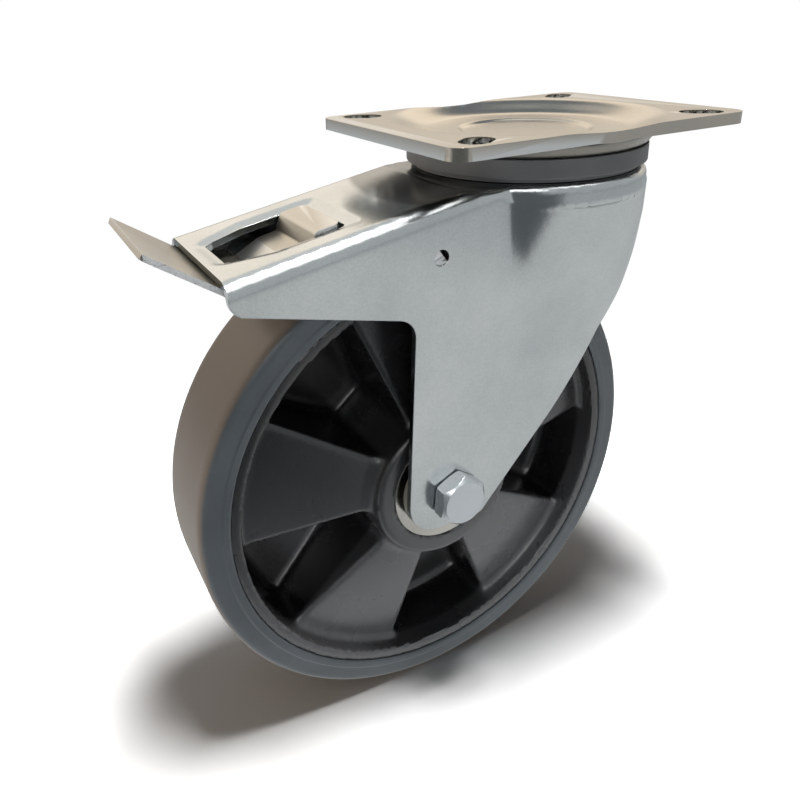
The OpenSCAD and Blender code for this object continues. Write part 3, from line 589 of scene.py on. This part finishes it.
def forkOutline(v, grow=0.0):
    # side outline in X and Z, from the arm's rear end down the leg and up the front
    axle = np.array([-v["trail"], -v["drop"]])
    foot = axle + np.array(v["foot"])
    path = [(-v["reach"], v["above"]), (-v["reach"], axle[1] + v["armCorner"]),
            (axle[0] - v["knee"][0], axle[1] + v["knee"][1]), axle + np.array([-v["heel"], -v["below"]]),
            axle + np.array([v["toe"], -v["below"]]), foot]
    rear = roundCorners(path, [0, v["armR"], v["kneeR"], v["heelR"], v["toeR"], 0], 8)
    lean = math.radians(v["frontLean"])
    middle = foot + v["frontR"] * np.array([-math.sin(lean), math.cos(lean)])
    front = arcPoints(middle, v["frontR"], *v["frontArc"], 18)[1:]
    edge = v["crownR"] + 1
    points = rear + front + [np.array([edge, v["crownZ"] - v["wallH"]]), np.array([edge, v["above"]])]
    if not grow:
        return points
    bigger = []
    for i, p in enumerate(points):
        along = unit(points[(i + 1) % len(points)] - points[i - 1])
        bigger.append(p - grow * np.array([-along[1], along[0]]))
    return bigger


def windowDistance(u, y, v):
    # distance outside the window's outline, in the plane of the web
    half, rearHalf, taper = v["windowHalf"], v["windowRearHalf"], v["windowTaper"]
    slope = math.hypot(taper, half - rearHalf)
    side = np.abs(y) - half
    slant = (np.abs(y) - rearHalf) * taper / slope - u * (half - rearHalf) / slope
    ends = np.maximum(-u, u - v["windowLength"])
    across = np.maximum(side, slant)
    inner = np.maximum(across, ends)
    cornered = np.hypot(np.maximum(across, 0), np.maximum(ends, 0))
    return np.where(inner > 0, np.maximum(inner, cornered), inner)


def armField(x, y, z, v):
    # the arm: a falling web with bent edges, sunk round its window
    fall = math.radians(v["fall"])
    high = (z - webTop(x, v)) * math.cos(fall)
    u = (x - v["windowRear"]) * math.cos(fall) + (z - webTop(v["windowRear"], v)) * math.sin(fall)
    away = np.clip(windowDistance(u, y, v) / v["windowBorder"], 0, 1)
    high = high + v["windowSink"] * (1 - away * away * (3 - 2 * away))
    arm = roundedCorner(high, np.abs(y) - v["legOut"], v["bend"])
    return np.maximum(arm, z - (v["crownZ"] - 1))


def forkField(p, v=forkValues):
    x, y, z = p[:, 0], p[:, 1], p[:, 2]
    wallLow = v["crownZ"] - v["wallH"]
    span = wallLow - v["coneLow"]
    swellR = v["crownR"] - v["coneLowR"]
    t = (z - v["coneLow"]) / span
    # the head's round side runs out downwards along a straight crease, its front follows a cone
    depth = np.clip(t, 0, 1) ** v["creasePower"]
    root = np.sqrt(np.maximum(v["crownR"] ** 2 - x ** 2, 9.0))
    swell = v["legOut"] + (root - v["legOut"]) * depth
    slope = np.hypot(np.clip(x / root, -4, 4) * depth, (root - v["legOut"]) / span)
    cone = (np.abs(y) - swell) / np.sqrt(1 + slope ** 2)
    middle = v["coneLowX"] * (1 - t)
    radius = v["coneLowR"] + swellR * t
    cone = np.maximum(cone, (np.hypot(np.maximum(x - middle, 0), y) - radius - 1) * v["coneLean"])
    cone = np.maximum(cone, v["headBack"] - x)
    cone = np.maximum(cone, np.maximum(v["coneLow"] - 4 - z, z - wallLow))
    # the legs end at the cone's front
    front = np.clip(t, 0.1, 1)
    frontR = v["coneLowR"] + swellR * front
    limit = v["coneLowX"] * (1 - front) + np.sqrt(np.maximum(frontR ** 2 - v["legOut"] ** 2, 0))
    arm = softMax(armField(x, y, z, v), x - limit, 3)
    body = softMin(arm, cone, np.clip(v["blend"] * 2 * depth, 0.05, v["blend"]))
    crown = roundedCorner(np.hypot(x, y) - v["crownR"], z - v["crownZ"], v["crownEdge"])
    return np.minimum(body, np.maximum(crown, wallLow - 3 - z))


def forkBlock(v, inset, margin):
    # rough closed block of web, legs, cone and crown, laid on the skin in two rounds
    wide, top = v["legOut"] - inset, v["crownZ"] - inset
    rear, step, front, deep, roofHalf = -200, -42, 34, -250, 60
    block = prism("forkSheet", forkOutline(v, grow=margin), -wide, wide)
    roof = prism("roof", [(rear, webTop(rear) - inset), (step, webTop(step) - inset), (step, top - 1),
                          (front, top - 1), (front, deep), (rear, deep)], -roofHalf, roofHalf)
    carve(block, roof, "INTERSECT")
    coneDepth, crownDepth, widen, shift = 60, 9, 1.1, 4
    bpy.ops.mesh.primitive_cone_add(vertices=96, radius1=(v["coneLowR"] - inset) * mm,
                                    radius2=(v["crownR"] - inset) * mm, depth=coneDepth * mm,
                                    location=(0, 0, (v["coneLow"] + coneDepth / 2) * mm))
    cone = bpy.context.object
    settle(cone)
    for vertex in cone.data.vertices:
        if vertex.co.z < (v["coneLow"] + coneDepth / 2) * mm:
            vertex.co.x = vertex.co.x * widen + shift * mm
    bpy.ops.mesh.primitive_cylinder_add(vertices=96, radius=(v["crownR"] - inset) * mm, depth=crownDepth * mm,
                                        location=(0, 0, (top - crownDepth / 2) * mm))
    crown = bpy.context.object
    settle(crown)
    block = joined([block, cone, crown], "forkSheet")
    for reach in (3.6, 2.0):
        runModifier(block, "REMESH", mode="VOXEL", voxel_size=v["voxel"] * mm)
        layOnField(block, lambda p: forkField(p) + inset, reach)
    return block


def windowCutter(v):
    half, rearHalf, long, taper = v["windowHalf"], v["windowRearHalf"], v["windowLength"], v["windowTaper"]
    inwards, outwards = v["windowChamfer"]
    right = [(0, -rearHalf), (inwards, -rearHalf - outwards), (taper, -half), (long, -half)]
    outline = right + [(u, -y) for u, y in reversed(right)]
    radii = [*v["windowRadii"], *reversed(v["windowRadii"])]
    ring = roundCorners(outline + outline[:1], [0, *radii, 0, 0], 4)[:-1]
    window = prism("window", ring, -9, 6, axis="Z")
    lean = Matrix.Rotation(-math.radians(v["fall"]), 4, "Y")
    window.data.transform(Matrix.Translation(Vector((v["windowRear"], 0, webTop(v["windowRear"]))) * mm) @ lean)
    return window


def makeFork(v):
    fork = forkBlock(v, 0, 6)
    carve(fork, forkBlock(v, v["sheet"], 9))
    # trim to the side outline, then cut arch, holes and window
    carve(fork, prism("trim", forkOutline(v), -70, 70), "INTERSECT")
    inner, deep = v["legOut"] - v["sheet"], -300
    arch = roundCorners([(-inner, deep), (-inner, v["archZ"]), (inner, v["archZ"]), (inner, deep)],
                        [0, v["archR"], v["archR"], 0], 10)
    cutters = [prism("arch", arch, 0, 90, axis="X")]
    for side in (-1, 1):
        ends = (side * v["legOut"] - 6, side * v["legOut"] + 6)
        cutters.append(rod("axleHole", v["axleHole"], *ends, (-v["trail"], -v["drop"])))
        cutters.append(rod("stubHole", v["stubHole"], *ends, v["stub"], sides=40))
    cutters.append(rod("kingHole", v["kingHole"], -30, -10, (0, 0), axis="Z"))
    cutters.append(windowCutter(v))
    carve(fork, joined(cutters, "cutters"))
    cleanUp(fork, merge=0.04, outward=False)
    smoothShade(fork, 35)
    finishPiece(fork, "fork")


makeFork(forkValues)


# ---- wheel: moulded rim and spun tyre ----

rimValues = {"axle": (-55, -140), "inner": 84, "outer": 88.5, "halfWidth": 21, "barrelEdge": 1.2,
             "hubR": 31, "hubSwell": 1.5, "hubHalf": 28, "hubEdge": 1.6, "boreR": 20, "seatR": 23.5, "seatFrom": 13.5,
             "faceAtHub": 22, "faceAtRim": 13, "fallFrom": 34, "fallOver": 50, "web": 4, "wall": 3.2,
             "webFrom": 26, "webTo": 85, "panels": 5, "start": -49, "half": 17.75, "fillet": 5.0, "edge": 2.4,
             "voxel": 1.35}


def rimField(p, v=rimValues):
    x, y, z = p[:, 0] - v["axle"][0], p[:, 1], p[:, 2] - v["axle"][1]
    r = np.hypot(x, z)
    pitch = 2 * math.pi / v["panels"]
    turn = np.arctan2(z, x) - math.radians(v["start"])
    folded = np.abs((turn + pitch / 2) % pitch - pitch / 2)
    inside = r * np.sin(math.radians(v["half"]) - folded)
    # five panels near the viewer's face with open pockets between them, and five behind those pockets
    fall = v["faceAtHub"] - v["faceAtRim"]
    depth = v["faceAtHub"] - np.clip(r - v["fallFrom"], 0, 60) * fall / v["fallOver"]
    wall = v["wall"] / 2
    nearPocket = softMax(inside + wall, y - (depth - v["web"]), v["fillet"])
    farPocket = softMax(wall - inside, (v["web"] - depth) - y, v["fillet"])
    web = softMax(np.maximum(-depth - y, y - depth), -nearPocket, v["edge"])
    web = softMax(web, -farPocket, v["edge"])
    web = np.maximum(web, np.maximum(v["webFrom"] - r, r - v["webTo"]))
    # barrel under the tyre, hub and bearing seats
    middle, half = (v["inner"] + v["outer"]) / 2, (v["outer"] - v["inner"]) / 2
    barrel = softMax(np.abs(r - middle) - half, np.abs(y) - v["halfWidth"], v["barrelEdge"])
    swell = v["hubSwell"] * (1 - np.abs(y) / v["hubHalf"])
    hub = softMax(r - v["hubR"] - swell, np.abs(y) - v["hubHalf"], v["hubEdge"])
    whole = softMin(softMin(web, barrel, v["fillet"]), hub, v["fillet"])
    seat = np.maximum(r - v["seatR"], v["seatFrom"] - np.abs(y))
    return np.maximum(np.maximum(whole, v["boreR"] - r), -seat)


def makeRim(v):
    rim = copyOfNode("rim", "nylonRim", flat=None)
    runModifier(rim, "REMESH", mode="VOXEL", voxel_size=v["voxel"] * mm)
    layOnField(rim, rimField, reach=3.0, rounds=8)
    smoothShade(rim, 50, weighted=False)
    finishPiece(rim, "rim")


makeRim(rimValues)

# flank: radius over the inner radius and height over the flank's plane; crown: the same from the outer radius
tyreValues = {"axle": (-55, 0, -140), "outer": 100, "inner": 88.5, "half": 21.5, "treadHalf": 20, "steps": 192,
              "flank": [(0, 0.5), (0.5, 0.05), (1.0, 0), (2.6, 0), (3.1, 0.12), (3.4, 0.45), (3.8, 0.55)],
              "shoulder": [(4.0, 0.75), (2.6, 0.95)],
              "crown": [(1.7, -0.15), (0.9, 0.55), (0.35, 1.6), (0.08, 3.0), (0, 5.0)]}


def makeTyre(v):
    side = [(v["inner"] + r, -v["half"] + h) for r, h in v["flank"]]
    side += [(v["outer"] - r, -v["half"] + h) for r, h in v["shoulder"]]
    side += [(v["outer"] - r, -v["treadHalf"] + h) for r, h in v["crown"]]
    tyre = spun("rubberTyre", side + [(r, -h) for r, h in reversed(side)], v["axle"], axis="Y", steps=v["steps"])
    smoothShade(tyre, 40)
    finishPiece(tyre, "tyre")


makeTyre(tyreValues)


# ---- head: dished plate and seal ring ----

plateValues = {"length": 135, "width": 100, "sheet": 4.5, "corner": 7, "dish": 5, "step": 1.2, "stepR": 26,
               "floorR": 38, "rimR": 55, "crownR": 47.5, "blankR": 95, "slotX": 52.5, "slotY": 40, "slotW": 11,
               "slotL": 16, "edge": 0.7, "steps": 160}


def eased(r0, z0, r1, z1, steps):
    # points from one radius and height to another, level at both ends
    return [(r0 + (r1 - r0) * i / steps, z0 + (z1 - z0) * (i / steps) ** 2 * (3 - 2 * i / steps))
            for i in range(steps + 1)]


def slotCutter(v, sx, sy):
    # a slot that points at the plate's middle
    turn = sx * sy * math.atan2(v["slotY"], v["slotX"])
    centre = np.array([sx * v["slotX"], sy * v["slotY"]])
    along = np.array([math.cos(turn), math.sin(turn)]) * (v["slotL"] - v["slotW"]) / 2
    angle, r = math.degrees(turn), v["slotW"] / 2
    ring = arcPoints(centre + along, r, angle - 90, angle + 90, 14)
    ring += arcPoints(centre - along, r, angle + 90, angle + 270, 14)
    return prism("slot", ring, -12, 6, axis="Z")


def makePlate(v):
    floor, under, step = -v["dish"], -v["dish"] - v["sheet"], v["step"]
    top = [(0.0, floor - step)] + eased(v["stepR"] - 2, floor - step, v["stepR"] + 1, floor, 5)
    top += eased(v["floorR"], floor, v["rimR"], 0, 14)
    low = eased(v["crownR"] + 3.5, -v["sheet"], v["crownR"] - 1.5, under, 8)
    low += [(v["stepR"] + 3, under), (v["stepR"] - 1, under - step), (0.0, under - step)]
    plate = spun("topPlate", top + [(v["blankR"], 0), (v["blankR"], -v["sheet"])] + low, steps=v["steps"])
    cleanUp(plate, merge=0.005)
    half, wide, r = v["length"] / 2, v["width"] / 2, v["corner"]
    rectangle = []
    for sx, sy, start in ((-1, -1, 180), (1, -1, 270), (1, 1, 0), (-1, 1, 90)):
        rectangle += arcPoints((sx * (half - r), sy * (wide - r)), r, start, start + 90, 10)
    carve(plate, prism("blank", rectangle, -30, 10, axis="Z"), "INTERSECT")
    carve(plate, joined([slotCutter(v, sx, sy) for sx in (-1, 1) for sy in (-1, 1)], "slots"))
    cleanUp(plate, merge=0.01, flat=0.2, outward=False)
    breakEdges(plate, v["edge"], 50, segments=3)
    smoothShade(plate, 40)
    finishPiece(plate, "top_plate")


makePlate(plateValues)

sealValues = {"outer": 47.5, "wall": 2.5, "top": -9.5, "low": -16.5, "flange": 1.6, "flangeR": 41.3, "round": 0.5,
              "skirt": 1.2, "skirtLow": -18.25, "skirtLean": 0.3, "steps": 160}


def makeSeal(v):
    top, low, r = v["top"], v["low"], v["round"]
    profile = [(v["flangeR"], top), (v["outer"] - r, top)]
    profile += [tuple(p) for p in arcPoints((v["outer"] - r, top - r), r, 90, 0, 4)[1:]]
    profile += [tuple(p) for p in arcPoints((v["outer"] - r, low + r), r, 0, -90, 4)]
    # a thin skirt inside the wall closes the gap above the fork's head
    wall = v["outer"] - v["wall"]
    inner = wall - v["skirt"]
    profile += [(wall, low), (wall - v["skirtLean"], v["skirtLow"]), (inner, v["skirtLow"]),
                (inner, top - v["flange"]), (v["flangeR"], top - v["flange"])]
    ring = spun("sealRing", profile, steps=v["steps"])
    smoothShade(ring, 35)
    finishPiece(ring, "seal_ring")


makeSeal(sealValues)


# ---- parts whose CAD shape is right: a merged copy with its edges broken ----

edgeOfNode = {"axle_washer": 0.25, "axle_nut": 0.35, "kingpin": 0.3, "king_nut": 0.3, "lower_race_cup": 0.25,
              "swivel_lock_disc": 0.3, "near_bearing_outer_ring": 0.35, "near_bearing_inner_ring": 0.3,
              "far_bearing_outer_ring": 0.35, "far_bearing_inner_ring": 0.3, "brake_plate": 0.25, "brake_shoe": 0.3,
              "distance_collars": 0.2, "pedal_pin": 0.2, "brake_pedal": 0.3}


def copyWithEdges(node, width):
    first, *others = node.split("_")
    name = first + "".join(word.title() for word in others) if others else "swivel" + node.title()
    piece = copyOfNode(node, name)
    breakEdges(piece, width, 40)
    smoothShade(piece, 35)
    finishPiece(piece, node)


for node, width in edgeOfNode.items():
    copyWithEdges(node, width)

boltValues = {"axle": (-55, -140), "thread": 6, "face": -34, "flats": 19, "height": 7.5, "turn": 85,
              "seat": 0.6, "seatR": 8.5, "chamferR": 8.8, "slope": 45, "lowChamfer": 1.2, "edge": 0.22}


def farEnd(node):
    return max((cadNodes[node].matrix_world @ Vector(c)).y for c in cadNodes[node].bound_box) / mm


def makeBolt(v):
    # hexagon head whose corners are turned off to a round face, on a plain shank
    ax, az = v["axle"]
    top, low, r = v["face"] - v["height"], v["face"] - v["seat"], v["chamferR"]
    corner = v["flats"] / 2 / math.cos(math.radians(30))
    turns = [math.radians(v["turn"] + 60 * i) for i in range(6)]
    head = prism("axleBolt", [(ax + corner * math.cos(t), az + corner * math.sin(t)) for t in turns], top, low)
    fall = math.tan(math.radians(v["slope"]))
    cap = [(0, top), (r, top), (r + 4, top + 4 * fall), (r + 4, low - 1), (r + v["lowChamfer"], low),
           (r, low + 1), (0, low + 1)]
    carve(head, spun("cap", cap, (ax, 0, az), axis="Y", steps=96), "INTERSECT")
    carve(head, rod("seat", v["seatR"], v["face"] - 1, v["face"], v["axle"]), "UNION")
    carve(head, rod("shank", v["thread"], v["face"] - 2, farEnd("axle_bolt"), v["axle"]), "UNION")
    cleanUp(head, merge=0.01, flat=0.1, outward=False)
    breakEdges(head, v["edge"], 20)
    smoothShade(head, 25)
    finishPiece(head, "axle_bolt")


makeBolt(boltValues)

# each nick: from and to along Y, its turn, and from and to across the stub
stubValues = {"place": (-61.8, -40.4), "half": 5,
              "nicks": {"chord": (29, 36, 38, 1.1, 5), "groove": (33.1, 36, 114, -0.45, 0.45)}}


def dressStubs(plate, v):
    # each stub's end is nicked: a flat towards the upper front and a groove across it
    centre = np.array(v["place"])
    for side in (-1, 1):
        for low, high, turn, near, far in v["nicks"].values():
            t = math.radians(turn)
            along = np.array([math.cos(t), math.sin(t)])
            across = np.array([-math.sin(t), math.cos(t)]) * v["half"]
            box = [centre + along * near - across, centre + along * far - across,
                   centre + along * far + across, centre + along * near + across]
            carve(plate, prism("nick", box, *sorted((side * low, side * high))))
    smoothShade(plate, 35)


dressStubs(bpy.data.objects["brakePlate"], stubValues)

padValues = {"tip": -162.81, "half": 26, "corner": 2.2, "front": -60, "tabFront": -91.5, "tabHalf": 16,
             "tabCorner": 3, "tabLow": -36}


def dressPedal(pedal, v):
    # the pad's outer corners are rounded
    r, half = v["corner"], v["half"]
    ring = arcPoints((v["tip"] + r, -half + r), r, 180, 270, 6) + [(v["front"], -half), (v["front"], half)]
    ring += arcPoints((v["tip"] + r, half - r), r, 90, 180, 6)
    carve(pedal, prism("padOutline", ring, -90, 10, axis="Z"), "INTERSECT")
    # the release tab's front corners too
    r, front, half = v["tabCorner"], v["tabFront"], v["tabHalf"]
    for side in (-1, 1):
        bow = [(front - r + r * math.sin(t), side * (half - r + r * math.cos(t)))
               for t in np.linspace(0, math.pi / 2, 7)]
        ring = bow + [(front + 1, side * (half - r)), (front + 1, side * (half + 1)), (front - r, side * (half + 1))]
        carve(pedal, prism("tabCorner", ring, v["tabLow"], -10, axis="Z"))
    smoothShade(pedal, 35)


dressPedal(bpy.data.objects["brakePedal"], padValues)

for name, node in cadNodes.items():
    for place in node.material_slots:
        place.material = finishes[slotOfNode[name]]


# ---- floor, lamps and world, in metres ----

studio = {"floorZ": -0.24003, "floorSize": 8.0, "white": 2.3, "whiteLow": 0.5, "closeBy": 0.075, "closePower": 1.5,
          "plain": 0.93, "fadeFrom": 0.24, "fadeTo": 0.42, "shineNear": (0.88, 0.90, 0.90), "shineFrom": 0.35,
          "shineFar": (0.55, 0.58, 0.60), "shineTo": 1.2, "shineDark": (0.17, 0.185, 0.19), "shine": 0.68,
          "flagX": (0.0, -0.09), "flagY": (-0.04, -0.1), "ambient": 0.02,
          "sky": [(0.0, (0.62, 0.57, 0.50)), (0.12, (0.64, 0.59, 0.52)), (0.3, (0.82, 0.78, 0.72)),
                  (0.6, (0.72, 0.73, 0.72)), (1.0, (0.6, 0.62, 0.62))]}


def makeStage(v):
    bpy.ops.object.select_all(action="DESELECT")
    bpy.ops.mesh.primitive_plane_add(size=v["floorSize"], location=(0, 0, v["floorZ"]))
    floor = bpy.context.object
    floor.name = "floor"
    material = bpy.data.materials.new("paleFloor")
    material.use_nodes = True
    tree = material.node_tree
    tree.nodes.clear()
    out = tree.nodes.new("ShaderNodeOutputMaterial")
    path = tree.nodes.new("ShaderNodeLightPath").outputs
    place = addNode(tree, "ShaderNodeTexCoord").outputs["Object"]
    spot = axesOf(tree, place)
    away = addNode(tree, "ShaderNodeVectorMath", {"operation": "LENGTH"}, i0=place).outputs["Value"]
    # what the plating mirrors: a dark flag on the floor's left, and a floor that falls off with distance
    shine = mixOf(tree, softStep(tree, away, v["shineFrom"], v["shineTo"]), v["shineNear"], v["shineFar"])
    flag = times(tree, softStep(tree, spot["X"], *v["flagX"]), softStep(tree, spot["Y"], *v["flagY"]))
    shine = mixOf(tree, flag, shine, v["shineDark"])
    plain = mixOf(tree, path["Is Glossy Ray"], (v["plain"],) * 3, shine)
    # seen straight, the floor also gets a painted contact shadow where something stands close
    closeBy = addNode(tree, "ShaderNodeAmbientOcclusion", {"samples": 8}, Distance=v["closeBy"]).outputs["AO"]
    seen = mixOf(tree, mathOf(tree, "POWER", closeBy, v["closePower"]), (v["whiteLow"],) * 3, (v["white"],) * 3)
    near = addNode(tree, "ShaderNodeBsdfDiffuse", None, Color=mixOf(tree, path["Is Camera Ray"], plain, seen))
    far = mixOf(tree, path["Is Glossy Ray"], (1.0, 1.0, 1.0), shine)
    strength = mixOf(tree, path["Is Glossy Ray"], 1.0, v["shine"], kind="FLOAT")
    backdrop = addNode(tree, "ShaderNodeEmission", None, Color=far, Strength=strength)
    fade = times(tree, softStep(tree, away, v["fadeFrom"], v["fadeTo"]), path["Is Camera Ray"])
    fade = mathOf(tree, "MAXIMUM", fade, path["Is Glossy Ray"])
    mix = addNode(tree, "ShaderNodeMixShader", None, Fac=fade, i1=near.outputs[0], i2=backdrop.outputs[0])
    plug(tree, out.inputs["Surface"], mix.outputs[0])
    floor.data.materials.append(material)


lamps = {
    "overheadLamp": {"place": (-0.03, -0.09, 1.05), "target": (-0.07, 0, -0.24), "size": (0.22, 0.22),
                     "power": 11.0, "colour": (1, 1, 1), "mirrored": True},
    "frontFill": {"place": (-0.6, -1.5, -0.14), "target": (-0.05, 0, -0.12), "size": (0.8, 0.16),
                  "power": 3.5, "colour": (0.86, 0.95, 1.0), "mirrored": False},
    "warmFill": {"place": (-1.2, 0.5, -0.16), "target": (-0.12, 0, -0.12), "size": (0.5, 0.14),
                 "power": 5.0, "colour": (1.0, 0.88, 0.76), "mirrored": False},
}


def makeLamp(name, v):
    data = bpy.data.lights.new(name, "AREA")
    data.shape = "RECTANGLE"
    data.size, data.size_y = v["size"]
    data.energy, data.color = v["power"], v["colour"]
    lamp = bpy.data.objects.new(name, data)
    bpy.context.scene.collection.objects.link(lamp)
    lamp.location = v["place"]
    lamp.rotation_euler = (Vector(v["place"]) - Vector(v["target"])).to_track_quat("Z", "Y").to_euler()
    lamp.visible_glossy = v["mirrored"]


# what the plating mirrors above the horizon, in degrees:
# azimuth and height of the middle, half width and half height, softness, then the colour
studioCards = {
    "warmWall": (72, 25, 60, 9, 6, (1.14, 1.03, 0.89)),
    "frontWall": (-60, 18, 60, 24, 8, (0.46, 0.485, 0.49)),
    "blueGap": (32, 45, 26, 8, 6, (0.12, 0.16, 0.20)),
    "frontDark": (218, 8, 26, 22, 10, (0.12, 0.13, 0.14)),
    "viewerSide": (-125, 32, 16, 9, 5, (2.2, 2.2, 2.2)),
    "topWhite": (-40, 58, 50, 7, 6, (1.7, 1.7, 1.7)),
}


def makeWorld(v, cards):
    world = bpy.data.worlds.new("studio")
    bpy.context.scene.world = world
    world.use_nodes = True
    tree = world.node_tree
    tree.nodes.clear()
    out = tree.nodes.new("ShaderNodeOutputWorld")
    path = tree.nodes.new("ShaderNodeLightPath").outputs
    direct = axesOf(tree, addNode(tree, "ShaderNodeTexCoord").outputs["Generated"])
    height = mathOf(tree, "DEGREES", mathOf(tree, "ARCSINE", direct["Z"]))
    around = mathOf(tree, "DEGREES", mathOf(tree, "ARCTAN2", direct["Y"], direct["X"]))
    sky = rampOf(tree, mathOf(tree, "DIVIDE", height, 90.0), v["sky"])
    for azimuth, lift, halfWide, halfHigh, soft, colour in cards.values():
        turn = mathOf(tree, "WRAP", mathOf(tree, "SUBTRACT", around, azimuth), 180.0)
        turn.node.inputs[2].default_value = -180.0
        sideways = softStep(tree, sizeOf(tree, turn), halfWide + soft, halfWide)
        upwards = softStep(tree, sizeOf(tree, mathOf(tree, "SUBTRACT", height, lift)), halfHigh + soft, halfHigh)
        sky = mixOf(tree, times(tree, sideways, upwards), sky, colour)
    lit, mirrored, white = [
        addNode(tree, "ShaderNodeBackground", None, Color=colour, Strength=strength).outputs[0]
        for colour, strength in (((1, 1, 1, 1), v["ambient"]), (sky, 1.0), ((1, 1, 1, 1), 1.0))]
    mix = addNode(tree, "ShaderNodeMixShader", None, Fac=path["Is Glossy Ray"], i1=lit, i2=mirrored)
    seen = mathOf(tree, "MAXIMUM", path["Is Camera Ray"], path["Is Transmission Ray"])
    mix = addNode(tree, "ShaderNodeMixShader", None, Fac=seen, i1=mix.outputs[0], i2=white)
    plug(tree, out.inputs["Surface"], mix.outputs[0])


makeStage(studio)
for name, values in lamps.items():
    makeLamp(name, values)
makeWorld(studio, studioCards)

scene = bpy.context.scene
scene.view_settings.view_transform = "Standard"
